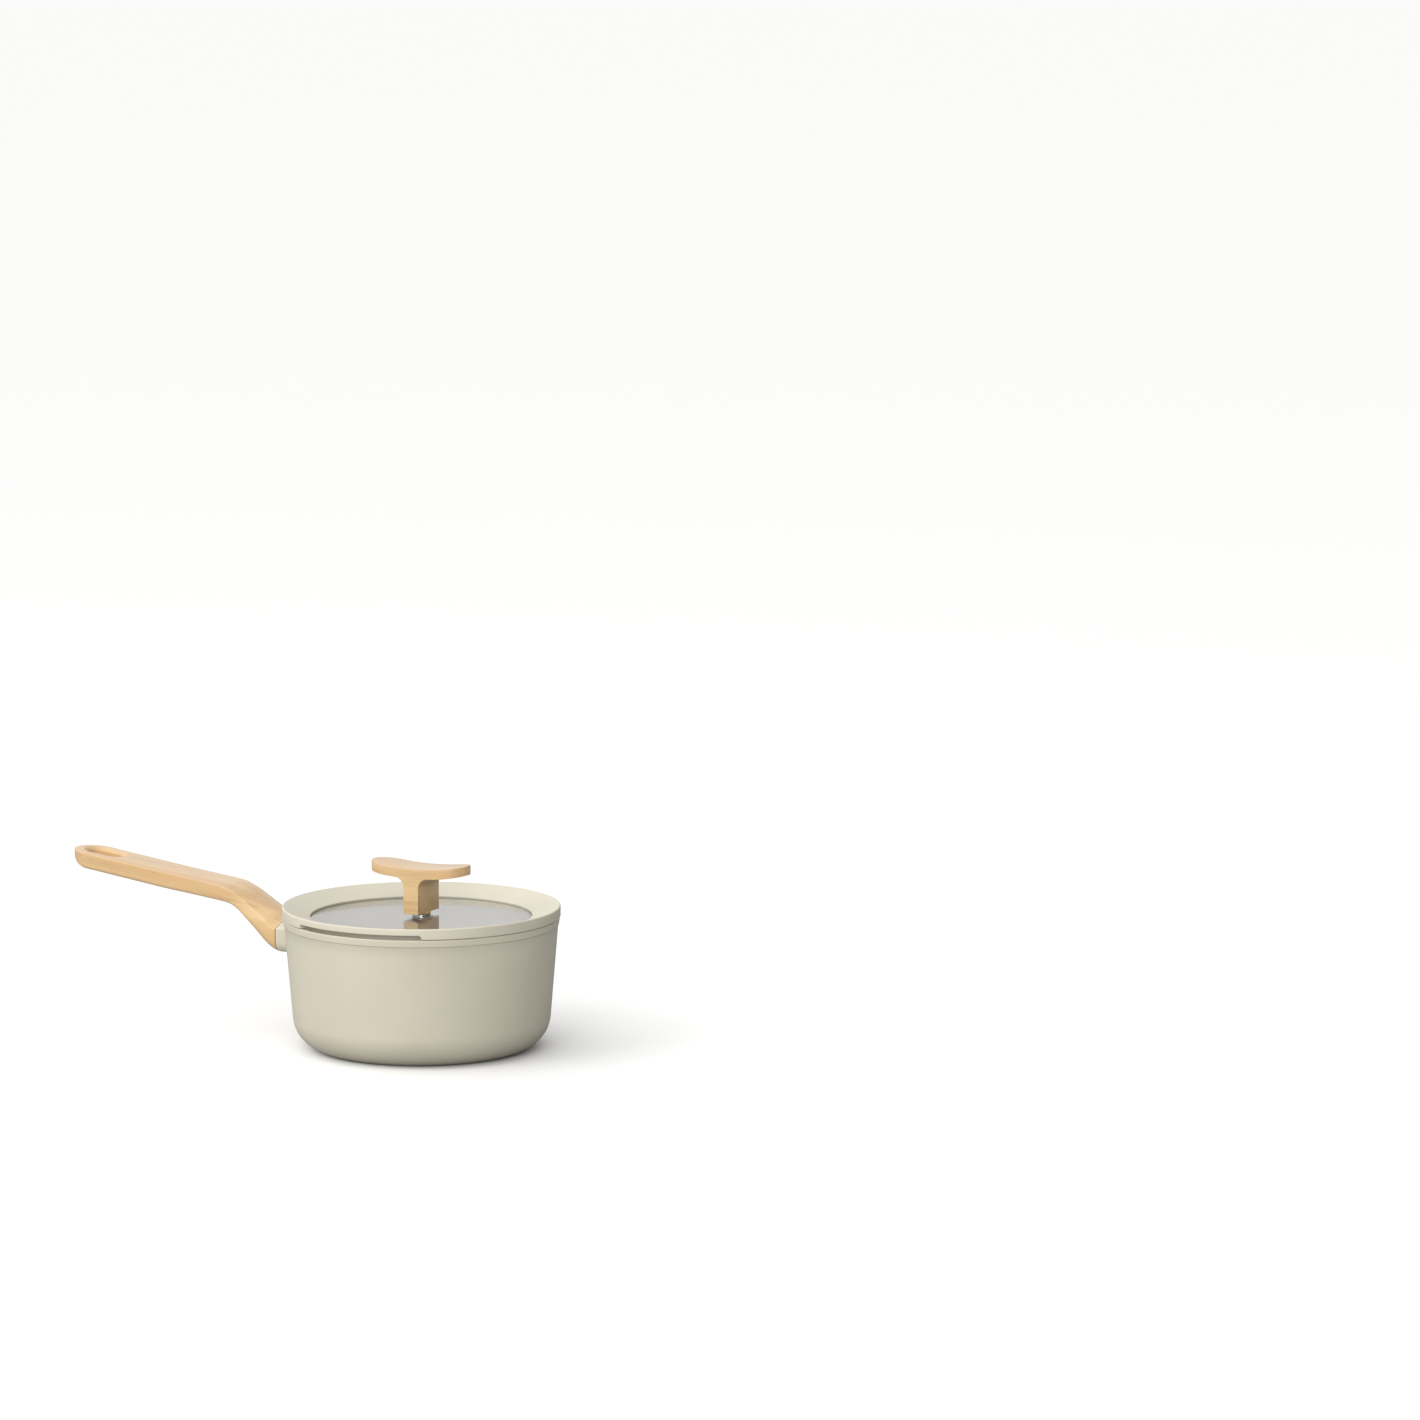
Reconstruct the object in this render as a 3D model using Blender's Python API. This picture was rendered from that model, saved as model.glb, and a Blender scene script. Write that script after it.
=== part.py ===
"""Saucepan with a long wooden handle and a glass lid with a wooden T knob.

Frame: origin on the pan axis at the underside of the base, +Z up,
handle along -X, strainer slots of the lid towards -Y and +Y.
Lengths in the constants below are millimetres; MM turns them into metres.
"""
import math

import bmesh
import bpy
from mathutils import Vector

MM = 0.001
FIT_GAP = 0.3
FULL_TURN = 2.0 * math.pi

# pan shell
PAN_SEGMENTS = 72
WALL_BASE_R = 84.2
WALL_FLARE = 0.085
WALL_THICK = 2.6
CORNER_R = 23.2
CORNER_STEPS = 7
FLOOR_Z = 6.5
PAN_UNDERSIDE_Z = 0.8
RIM_BAND_Z = 83.7
RIM_TOP_Z = 88.5
RIM_BAND_LOW_R = 91.8
RIM_BAND_STEP = 0.3
RIM_TOP_R = 92.3
RIM_EDGE_R = 0.7
MOUTH_R = 89.3

# induction plate let into the underside
PLATE_R = 66.0
PLATE_THICK = 2.6
PLATE_CHAMFER = 0.5

# bracket welded to the wall, ferrule over it and handle screw
BRACKET_HALF_W = 14.0
BRACKET_Z = (61.6, 71.8)
BRACKET_CORNER_R = 3.0
BRACKET_TIP_S = 101.6
FERRULE_HALF_W = 19.3
FERRULE_Z = (58.0, 74.4)
FERRULE_CROWN = 4.8
FERRULE_EDGE_R = 0.8
FERRULE_LOW_CORNER_R = 7.5
FERRULE_TOP_STEPS = 8
WALL_TOOL_MARGIN = 7.0
FERRULE_TIP_S = 102.0
ROOT_S = 84.0
SCREW_Z = 68.2
SCREW_R = 2.0
SCREW_SHANK_S = (93.0, 109.2)
SCREW_THREAD_END_S = 92.0
SCREW_HEAD_R = 3.4
SCREW_HEAD_S = (108.8, 111.4)
SCREW_HOLE_R = 2.4
WASHER_R = 4.1
WASHER_S = (107.5, 108.5)
SEAT_S = 107.2
COUNTERBORE_R = 4.4
COUNTERBORE_END_S = 128.0
DRIVE_R = 1.5
DRIVE_DEPTH = 1.6
SCREW_HEAD_CHAMFER = 0.9

# handle: top and bottom points of successive sections, as (s, z) pairs
HANDLE_SECTIONS = (
    ((102.3, 74.3), (102.3, 58.3)),
    ((104.6, 74.5), (106.8, 60.2)),
    ((107.6, 76.0), (112.5, 64.5)),
    ((112.0, 79.4), (118.7, 70.3)),
    ((119.0, 84.2), (125.7, 76.9)),
    ((126.5, 89.3), (132.3, 82.5)),
    ((133.5, 93.8), (137.6, 86.0)),
    ((140.0, 97.0), (142.6, 87.9)),
    ((148.5, 99.6), (149.8, 89.0)),
    ((170.0, 102.3), (171.2, 91.6)),
    ((192.0, 105.0), (193.3, 94.1)),
    ((224.0, 109.2), (225.2, 98.4)),
    ((254.3, 113.3), (254.3, 102.3)),
)
HANDLE_STEPS_PER_SECTION = 2
HANDLE_HALF_W = (19.7, 15.5)
HANDLE_FLARE_S = (98.0, 140.0)
HANDLE_TIP_S = 269.9
HANDLE_TIP_TOP_Z = 114.8
HANDLE_TIP_LOW_Z = 112.8
HANDLE_UNDERCUT_POWER = 0.75
HANDLE_TIP_STEPS = 7
HANDLE_TIP_LAST_ANGLE = 0.48 * math.pi
HANDLE_EDGE_R = 0.8
HANDLE_CROWN = (4.8, 0.6)
HANDLE_CROWN_S = (106.0, 150.0)
HANDLE_LOW_ROUND = (7.5, 3.0)
HANDLE_LOW_ROUND_S = (103.0, 128.0)
MOST_OF_DEPTH = 0.47
MOST_OF_WIDTH = 0.6
TOP_SHARES = (0.2, 0.5, 0.8, 1.0)
HANG_SLOT_S = 248.5
HANG_SLOT_HALF_W = 6.6
HANG_SLOT_HALF_L = 13.0
HANG_SLOT_TOP_FLARE = 2.9
HANG_SLOT_TOP_DEPTH = 1.8
HANG_SLOT_LOW_FLARE = 1.0
HANG_SLOT_TILT = math.radians(7.4)
HANG_SLOT_TOP_Z = 112.8
HANG_SLOT_LOW_Z = 101.6

# lid ring
RING_SEGMENTS = 72
RING_OUTER_R = 92.8
RING_TOP_Z = 96.0
RING_LOW_Z = RIM_TOP_Z + FIT_GAP
RING_EDGE_R = 1.4
RING_INNER_R = 73.9
RING_INNER_TOP_Z = 89.4
RING_LIP_R = 88.1
RING_LIP_LOW_Z = 82.6
RING_GROOVE_R = 77.8
RING_LOWER_LIP_R = 75.2
RING_CHANNEL_R = (79.5, 81.0, 84.4, 85.2)
RING_CHANNEL_DEPTH = 3.4
RING_LOW_CHAMFER = 0.6
RING_LIP_CHAMFER = 1.0
RING_INNER_CHAMFER = (0.5, 0.3)
RING_INNER_RISE = 0.15
STRAINER_HALF_ANGLE = math.radians(30.0)
STRAINER_TOP_Z = 91.9
STRAINER_CORNER_R = 2.4
STRAINER_INNER_R = 84.0
STRAINER_STEPS = 20
STRAINER_END_CROWDING = 1.6

# glass pane
GLASS_SEGMENTS = 60
GLASS_R = 77.4
GLASS_CROWN_Z = 89.5
GLASS_SAG = 1.3
GLASS_THICK = 4.0
GLASS_HOLE_R = 5.0
GLASS_STEPS = 6
GLASS_CHAMFER = (0.6, 0.8)

# T knob
KNOB_HALF_L = 35.8
KNOB_HALF_W = 14.0
KNOB_MID_TOP_Z = 122.0
KNOB_END_RISE = 3.2
KNOB_BAR_THICK = 6.2
KNOB_STEM_HALF = 5.5
KNOB_STEM_FILLET = 7.0
KNOB_BOTTOM_Z = 91.9
KNOB_BOSS_R = 6.3
KNOB_BOSS_Z = 90.6
KNOB_EDGE_R = 0.9
KNOB_PLAN_STEPS = 12
KNOB_CURVE_STEPS = 8
KNOB_FILLET_END_DEG = 94
KNOB_FILLET_RUN = 2.0
KNOB_BEVEL_ABOVE = math.radians(50.0)
KNOB_CUT_MARGIN = 1.0

# knob fixings
INSERT_R = 4.0
INSERT_BORE_R = 2.3
INSERT_Z = (91.2, 103.0)
INSERT_HOLE_TOP_Z = 103.6
TOP_WASHER_R = 6.5
TOP_WASHER_Z = (89.75, 90.35)
GROMMET_SLEEVE_R = 4.7
GROMMET_BORE_R = 2.4
GROMMET_FLANGE_R = 8.0
GROMMET_Z = (84.1, 85.2, 89.4)
LOW_WASHER_R = 7.0
LOW_WASHER_Z = (83.1, 83.8)
LID_SCREW_HEAD_R = 4.4
LID_SCREW_Z = (80.2, 82.8, 101.5)

SMALL_SEGMENTS = 24

CREAM = (0.80, 0.76, 0.62)
WOOD = (0.84, 0.60, 0.33)
STEEL = (0.62, 0.62, 0.63)
PLATE_STEEL = (0.55, 0.55, 0.57)
BRASS = (0.72, 0.55, 0.27)
SILICONE_GREY = (0.35, 0.35, 0.35)
ALUMINIUM = (0.76, 0.77, 0.78)
GLASS = (0.86, 0.88, 0.88)


def material(name, colour, roughness, metallic=0.0, transmission=0.0):
    mat = bpy.data.materials.new(name)
    mat.use_nodes = True
    shader = mat.node_tree.nodes["Principled BSDF"]
    shader.inputs["Base Color"].default_value = (*colour, 1.0)
    shader.inputs["Roughness"].default_value = roughness
    shader.inputs["Metallic"].default_value = metallic
    shader.inputs["Transmission Weight"].default_value = transmission
    mat.diffuse_color = (*colour, 1.0)
    return mat


def make_object(name, verts_mm, faces, mat, sharp_deg=30.0):
    mesh = bpy.data.meshes.new(name)
    mesh.from_pydata([Vector(v) * MM for v in verts_mm], [], faces)
    bm = bmesh.new()
    bm.from_mesh(mesh)
    bmesh.ops.recalc_face_normals(bm, faces=bm.faces)
    bm.to_mesh(mesh)
    bm.free()
    mesh.shade_smooth()
    mesh.set_sharp_from_angle(angle=math.radians(sharp_deg))
    obj = bpy.data.objects.new(name, mesh)
    bpy.context.scene.collection.objects.link(obj)
    if mat is not None:
        mesh.materials.append(mat)
    return obj


def lathe(name, profile, segments, mat):
    """Turn a profile of (r, z) points; points at r = 0 become poles."""
    closed = profile[0][0] > 0.0
    verts = []
    rows = []
    for r, z in profile:
        if r == 0.0:
            rows.append([len(verts)] * segments)
            verts.append((0.0, 0.0, z))
            continue
        row = []
        for k in range(segments):
            a = FULL_TURN * k / segments
            row.append(len(verts))
            verts.append((r * math.cos(a), r * math.sin(a), z))
        rows.append(row)
    spans = list(zip(rows, rows[1:]))
    if closed:
        spans.append((rows[-1], rows[0]))
    faces = []
    for low, high in spans:
        for k in range(segments):
            n = (k + 1) % segments
            corners = [low[k], low[n], high[n], high[k]]
            faces.append(list(dict.fromkeys(corners)))
    return make_object(name, verts, faces, mat)


def loft(name, rings, mat, sharp_deg=30.0):
    """Skin equal-length closed rings of 3-D points and cap both ends."""
    count = len(rings[0])
    verts = [p for ring in rings for p in ring]
    faces = []
    for i in range(len(rings) - 1):
        for k in range(count):
            n = (k + 1) % count
            faces.append([i * count + k, i * count + n, (i + 1) * count + n, (i + 1) * count + k])
    faces.append(list(range(count)))
    last = (len(rings) - 1) * count
    faces.append([last + k for k in range(count)])
    return make_object(name, verts, faces, mat, sharp_deg)


def lying_tube(name, steps, mat):
    """Turn (s, r) steps about the handle screw's axis, which runs along -X."""
    rings = []
    for s, r in steps:
        ring = []
        for k in range(SMALL_SEGMENTS):
            a = FULL_TURN * k / SMALL_SEGMENTS
            ring.append((-s, r * math.cos(a), SCREW_Z + r * math.sin(a)))
        rings.append(ring)
    return loft(name, rings, mat)


def boolean(target, tool, operation):
    mod = target.modifiers.new(operation.lower(), "BOOLEAN")
    mod.object = tool
    mod.operation = operation
    mod.solver = "EXACT"
    tool.hide_render = True
    tool.display_type = "WIRE"


def arc(centre, radius, start_deg, end_deg, steps):
    points = []
    for k in range(steps + 1):
        a = math.radians(start_deg + (end_deg - start_deg) * k / steps)
        points.append((centre[0] + radius * math.cos(a), centre[1] + radius * math.sin(a)))
    return points


def rounded_rectangle(half_w, z_low, z_high, radius):
    """Outline in (y, z) with rounded corners."""
    outline = arc((half_w - radius, z_low + radius), radius, -90, 0, 4)
    outline += arc((half_w - radius, z_high - radius), radius, 0, 90, 4)
    outline += arc((radius - half_w, z_high - radius), radius, 90, 180, 4)
    outline += arc((radius - half_w, z_low + radius), radius, 180, 270, 4)
    return outline


def arch_height(y, half_w, crown):
    return crown * (1.0 - (y / half_w) ** 2)


def crowned_section(half_w, z_low, z_edge, crown, low_r, edge_r):
    """Outline in (y, z): rounded lower corners, upright sides and an arched top."""
    flat = half_w - edge_r
    outline = arc((half_w - low_r, z_low + low_r), low_r, -90, 0, 5)
    outline.append((half_w, z_edge - edge_r))
    for k in range(FERRULE_TOP_STEPS + 1):
        y = flat * (1.0 - 2.0 * k / FERRULE_TOP_STEPS)
        outline.append((y, z_edge + arch_height(y, half_w, crown)))
    outline.append((-half_w, z_edge - edge_r))
    outline += arc((low_r - half_w, z_low + low_r), low_r, 180, 270, 5)
    return outline


def along_handle(name, outline, s_start, s_end, mat):
    return loft(name, [[(-s, y, z) for y, z in outline] for s in (s_start, s_end)], mat)


def wall_r(z):
    return WALL_BASE_R + WALL_FLARE * z


def corner(offset, floor_z, steps):
    """Rounded corner between a floor and the flared wall, moved in by offset."""
    tilt = math.degrees(math.atan(WALL_FLARE))
    radius = CORNER_R - offset
    centre_z = floor_z + radius
    centre_r = wall_r(centre_z) - offset - radius / math.cos(math.radians(tilt))
    return arc((centre_r, centre_z), radius, -90, -tilt, steps)


def pan_body(mat):
    recess_r = PLATE_R + FIT_GAP
    recess_z = PLATE_THICK + FIT_GAP
    profile = [(0.0, recess_z), (recess_r, recess_z), (recess_r, PAN_UNDERSIDE_Z)]
    profile += [p for p in corner(0.0, 0.0, CORNER_STEPS) if p[0] > recess_r]
    profile.append((wall_r(RIM_BAND_Z), RIM_BAND_Z))
    profile.append((RIM_BAND_LOW_R, RIM_BAND_Z + RIM_BAND_STEP))
    profile += arc((RIM_TOP_R - RIM_EDGE_R, RIM_TOP_Z - RIM_EDGE_R), RIM_EDGE_R, 0, 90, 2)
    profile += arc((MOUTH_R + RIM_EDGE_R, RIM_TOP_Z - RIM_EDGE_R), RIM_EDGE_R, 90, 180, 2)
    profile.append((wall_r(RIM_BAND_Z) - WALL_THICK, RIM_BAND_Z))
    profile += reversed(corner(WALL_THICK, FLOOR_Z, CORNER_STEPS))
    profile.append((0.0, FLOOR_Z))
    lathe("pan_body", profile, PAN_SEGMENTS, mat)


def base_plate(mat):
    profile = [
        (0.0, 0.0),
        (PLATE_R - PLATE_CHAMFER, 0.0),
        (PLATE_R, PLATE_CHAMFER),
        (PLATE_R, PLATE_THICK),
        (0.0, PLATE_THICK),
    ]
    lathe("induction_base_plate", profile, PAN_SEGMENTS, mat)


def pan_wall_tool():
    """The space inside the pan's wall with its fitting gap, to trim what meets the wall."""
    low_z = FERRULE_Z[0] - WALL_TOOL_MARGIN
    high_z = FERRULE_Z[1] + WALL_TOOL_MARGIN
    wall = [
        (0.0, low_z),
        (wall_r(low_z) + FIT_GAP, low_z),
        (wall_r(high_z) + FIT_GAP, high_z),
        (0.0, high_z),
    ]
    return lathe("tool_pan_wall", wall, PAN_SEGMENTS, None)


def bracket(mat, wall_tool):
    outline = rounded_rectangle(BRACKET_HALF_W, *BRACKET_Z, BRACKET_CORNER_R)
    body = along_handle("handle_bracket", outline, ROOT_S, BRACKET_TIP_S, mat)
    boolean(body, wall_tool, "DIFFERENCE")
    hole_steps = ((SCREW_THREAD_END_S, SCREW_HOLE_R), (BRACKET_TIP_S + 1.0, SCREW_HOLE_R))
    boolean(body, lying_tube("tool_bracket_hole", hole_steps, None), "DIFFERENCE")


def ferrule(mat, wall_tool):
    outline = crowned_section(
        FERRULE_HALF_W, *FERRULE_Z, FERRULE_CROWN, FERRULE_LOW_CORNER_R, FERRULE_EDGE_R
    )
    body = along_handle("handle_ferrule", outline, ROOT_S, FERRULE_TIP_S, mat)
    inner = rounded_rectangle(
        BRACKET_HALF_W + FIT_GAP,
        BRACKET_Z[0] - FIT_GAP,
        BRACKET_Z[1] + FIT_GAP,
        BRACKET_CORNER_R,
    )
    bore = along_handle("tool_ferrule_bore", inner, ROOT_S - 1.0, FERRULE_TIP_S + 1.0, None)
    boolean(body, bore, "DIFFERENCE")
    boolean(body, wall_tool, "DIFFERENCE")


def smoothstep(t):
    t = min(max(t, 0.0), 1.0)
    return t * t * (3.0 - 2.0 * t)


def fade(pair, s, span):
    """Move smoothly from the first value to the second as s crosses the span."""
    return pair[0] + (pair[1] - pair[0]) * smoothstep((s - span[0]) / (span[1] - span[0]))


def handle_section(top, low, half_w, edge, crown, low_round):
    """Closed ring across the handle between its side edge and its bottom."""
    top = Vector((-top[0], 0.0, top[1]))
    low = Vector((-low[0], 0.0, low[1]))
    depth = (low - top).length
    low_round = min(low_round, MOST_OF_DEPTH * depth, MOST_OF_WIDTH * half_w)
    edge = min(edge, MOST_OF_DEPTH * depth, MOST_OF_WIDTH * half_w)
    flat = half_w - edge
    half = []
    for share in TOP_SHARES:
        y = share * flat
        half.append((y, -arch_height(y, half_w, crown)))
    half.append((half_w, edge))
    half += arc((half_w - low_round, depth - low_round), low_round, 0, 90, 4)
    ring = half + [(-y, t) for y, t in reversed(half)]
    down = (low - top) / depth
    return [tuple(top + down * t + Vector((0.0, y, 0.0))) for y, t in ring]


def catmull(points, i, t):
    p0 = points[max(i - 1, 0)]
    p1 = points[i]
    p2 = points[i + 1]
    p3 = points[min(i + 2, len(points) - 1)]
    out = []
    for a, b, c, d in zip(p0, p1, p2, p3):
        quad = 2.0 * a - 5.0 * b + 4.0 * c - d
        cubic = 3.0 * b - a - 3.0 * c + d
        out.append(0.5 * (2.0 * b + (c - a) * t + quad * t * t + cubic * t * t * t))
    return tuple(out)


def handle_rings():
    tops = [pair[0] for pair in HANDLE_SECTIONS]
    lows = [pair[1] for pair in HANDLE_SECTIONS]
    rings = []
    for i in range(len(tops) - 1):
        for k in range(HANDLE_STEPS_PER_SECTION):
            t = k / HANDLE_STEPS_PER_SECTION
            top = catmull(tops, i, t)
            low = catmull(lows, i, t)
            mid_s = 0.5 * (top[0] + low[0])
            half_w = fade(HANDLE_HALF_W, mid_s, HANDLE_FLARE_S)
            crown = fade(HANDLE_CROWN, mid_s, HANDLE_CROWN_S)
            low_round = fade(HANDLE_LOW_ROUND, mid_s, HANDLE_LOW_ROUND_S)
            rings.append(handle_section(top, low, half_w, HANDLE_EDGE_R, crown, low_round))
    start_top, start_low = tops[-1], lows[-1]
    start_s = start_top[0]
    for k in range(HANDLE_TIP_STEPS + 1):
        a = HANDLE_TIP_LAST_ANGLE * k / HANDLE_TIP_STEPS
        reach = math.sin(a)
        taper = math.cos(a)
        s = start_s + (HANDLE_TIP_S - start_s) * reach
        top_z = start_top[1] + (HANDLE_TIP_TOP_Z - start_top[1]) * reach
        undercut = (1.0 - taper) ** HANDLE_UNDERCUT_POWER
        low_z = start_low[1] + (HANDLE_TIP_LOW_Z - start_low[1]) * undercut
        half_w = HANDLE_HALF_W[1] * taper
        edge = HANDLE_EDGE_R * taper
        crown = HANDLE_CROWN[1] * taper
        rings.append(
            handle_section((s, top_z), (s, low_z), half_w, edge, crown, HANDLE_LOW_ROUND[1])
        )
    return rings


def stadium(half_l, half_w, steps):
    run = half_l - half_w
    return arc((run, 0.0), half_w, -90, 90, steps) + arc((-run, 0.0), half_w, 90, 270, steps)


def hang_slot_tool():
    mid_z = 0.5 * (HANG_SLOT_TOP_Z + HANG_SLOT_LOW_Z)
    half_h = 0.5 * (HANG_SLOT_TOP_Z - HANG_SLOT_LOW_Z)
    top_grow = HANG_SLOT_TOP_FLARE * (1.0 + 1.0 / HANG_SLOT_TOP_DEPTH)
    levels = (
        (-half_h - 1.0, HANG_SLOT_LOW_FLARE + 1.0),
        (HANG_SLOT_LOW_FLARE - half_h, 0.0),
        (half_h - HANG_SLOT_TOP_DEPTH, 0.0),
        (half_h + 1.0, top_grow),
    )
    rings = []
    for height, grow in levels:
        ring = []
        for x, y in stadium(HANG_SLOT_HALF_L + grow, HANG_SLOT_HALF_W + grow, 6):
            along = x * math.cos(HANG_SLOT_TILT) - height * math.sin(HANG_SLOT_TILT)
            up = x * math.sin(HANG_SLOT_TILT) + height * math.cos(HANG_SLOT_TILT)
            ring.append((-HANG_SLOT_S - along, y, mid_z + up))
        rings.append(ring)
    return loft("tool_hang_slot", rings, None)


def handle_grip(mat):
    grip = loft("handle_grip", handle_rings(), mat, 22.0)
    boolean(grip, hang_slot_tool(), "DIFFERENCE")
    steps = (
        (HANDLE_SECTIONS[0][0][0] - 1.0, SCREW_HOLE_R),
        (SEAT_S, SCREW_HOLE_R),
        (SEAT_S, COUNTERBORE_R),
        (COUNTERBORE_END_S, COUNTERBORE_R),
    )
    boolean(grip, lying_tube("tool_handle_bore", steps, None), "DIFFERENCE")


def handle_fixings(steel):
    tube = (
        (SCREW_SHANK_S[0], SCREW_R),
        (SCREW_HEAD_S[0], SCREW_R),
        (SCREW_HEAD_S[0], SCREW_HEAD_R),
        (SCREW_HEAD_S[1] - SCREW_HEAD_CHAMFER, SCREW_HEAD_R),
        (SCREW_HEAD_S[1], SCREW_HEAD_R - SCREW_HEAD_CHAMFER),
    )
    screw = lying_tube("handle_screw", tube, steel)
    drive_steps = (
        (SCREW_HEAD_S[1] - DRIVE_DEPTH, DRIVE_R),
        (SCREW_HEAD_S[1] + 1.0, DRIVE_R),
    )
    boolean(screw, lying_tube("tool_handle_drive", drive_steps, None), "DIFFERENCE")
    washer_steps = ((WASHER_S[0], WASHER_R), (WASHER_S[1], WASHER_R))
    washer = lying_tube("handle_washer", washer_steps, steel)
    hole_steps = ((WASHER_S[0] - 1.0, SCREW_HOLE_R), (WASHER_S[1] + 1.0, SCREW_HOLE_R))
    boolean(washer, lying_tube("tool_washer_hole", hole_steps, None), "DIFFERENCE")


def glass_top(r):
    return GLASS_CROWN_Z - GLASS_SAG * (r / RING_INNER_R) ** 2


def strainer_tool(name, centre_angle):
    rings = []
    for k in range(STRAINER_STEPS + 1):
        t = -1.0 + 2.0 * k / STRAINER_STEPS
        t = math.copysign(1.0 - (1.0 - abs(t)) ** STRAINER_END_CROWDING, t)
        a = centre_angle + STRAINER_HALF_ANGLE * t
        end_gap = (1.0 - abs(t)) * STRAINER_HALF_ANGLE * RING_OUTER_R
        inset = max(STRAINER_CORNER_R - end_gap, 0.0)
        drop = STRAINER_CORNER_R - math.sqrt(max(STRAINER_CORNER_R**2 - inset**2, 0.0))
        ring = []
        for r, z in (
            (STRAINER_INNER_R, RING_LIP_LOW_Z - 1.0),
            (RING_OUTER_R + 1.0, RING_LIP_LOW_Z - 1.0),
            (RING_OUTER_R + 1.0, STRAINER_TOP_Z - drop),
            (STRAINER_INNER_R, STRAINER_TOP_Z - drop),
        ):
            ring.append((r * math.cos(a), r * math.sin(a), z))
        rings.append(ring)
    return loft(name, rings, None)


def lid_ring(mat):
    groove_low = glass_top(RING_GROOVE_R) - GLASS_THICK - FIT_GAP
    profile = [
        (RING_LIP_R, RING_LIP_LOW_Z + RING_LIP_CHAMFER),
        (RING_LIP_R, RING_LOW_Z),
        (RING_OUTER_R - RING_LOW_CHAMFER, RING_LOW_Z),
        (RING_OUTER_R, RING_LOW_Z + RING_LOW_CHAMFER),
    ]
    edge_centre = (RING_OUTER_R - RING_EDGE_R, RING_TOP_Z - RING_EDGE_R)
    profile += arc(edge_centre, RING_EDGE_R, 0, 110, 4)
    profile += [
        (RING_INNER_R + RING_INNER_CHAMFER[0], RING_INNER_TOP_Z + RING_INNER_RISE),
        (RING_INNER_R, RING_INNER_TOP_Z - RING_INNER_CHAMFER[1]),
        (RING_INNER_R, glass_top(RING_INNER_R) + FIT_GAP),
        (RING_GROOVE_R, glass_top(RING_GROOVE_R) + FIT_GAP),
        (RING_GROOVE_R, groove_low),
        (RING_LOWER_LIP_R, groove_low),
        (RING_LOWER_LIP_R, RING_LIP_LOW_Z),
        (RING_CHANNEL_R[0], RING_LIP_LOW_Z),
        (RING_CHANNEL_R[1], RING_LIP_LOW_Z + RING_CHANNEL_DEPTH),
        (RING_CHANNEL_R[2], RING_LIP_LOW_Z + RING_CHANNEL_DEPTH),
        (RING_CHANNEL_R[3], RING_LIP_LOW_Z),
        (RING_LIP_R - RING_LIP_CHAMFER, RING_LIP_LOW_Z),
    ]
    ring = lathe("lid_rim_ring", profile, RING_SEGMENTS, mat)
    boolean(ring, strainer_tool("tool_strainer_front", -0.5 * math.pi), "DIFFERENCE")
    boolean(ring, strainer_tool("tool_strainer_back", 0.5 * math.pi), "DIFFERENCE")


def lid_glass(mat):
    radii = []
    for k in range(GLASS_STEPS + 1):
        radii.append(GLASS_HOLE_R + (GLASS_R - GLASS_CHAMFER[0] - GLASS_HOLE_R) * k / GLASS_STEPS)
    top = [(r, glass_top(r)) for r in radii]
    low = [(r, glass_top(r) - GLASS_THICK) for r in radii]
    edge = [
        (GLASS_R, glass_top(GLASS_R) - GLASS_CHAMFER[1]),
        (GLASS_R, glass_top(GLASS_R) - GLASS_THICK + GLASS_CHAMFER[1]),
    ]
    lathe("lid_glass", top + edge + low[::-1], GLASS_SEGMENTS, mat)


def knob_top_z(x):
    return KNOB_MID_TOP_Z + KNOB_END_RISE * (x / KNOB_HALF_L) ** 2


def knob_profile():
    """T outline in (x, z), anticlockwise from the stem's bottom right corner."""
    steps = KNOB_CURVE_STEPS
    under_z = knob_top_z(KNOB_STEM_HALF + KNOB_STEM_FILLET) - KNOB_BAR_THICK
    right = [(KNOB_STEM_HALF, KNOB_BOTTOM_Z)]
    centre = (KNOB_STEM_HALF + KNOB_STEM_FILLET, under_z - KNOB_STEM_FILLET)
    right += arc(centre, KNOB_STEM_FILLET, 180, KNOB_FILLET_END_DEG, 5)
    end_x = KNOB_HALF_L + KNOB_CUT_MARGIN
    first_x = KNOB_STEM_HALF + KNOB_STEM_FILLET + KNOB_FILLET_RUN
    for k in range(steps):
        x = first_x + (end_x - first_x) * k / (steps - 1)
        right.append((x, knob_top_z(x) - KNOB_BAR_THICK))
    for k in range(steps):
        x = end_x * (1.0 - k / steps)
        right.append((x, knob_top_z(x)))
    left = [(-x, z) for x, z in reversed(right)]
    return right + [(0.0, KNOB_MID_TOP_Z)] + left


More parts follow.
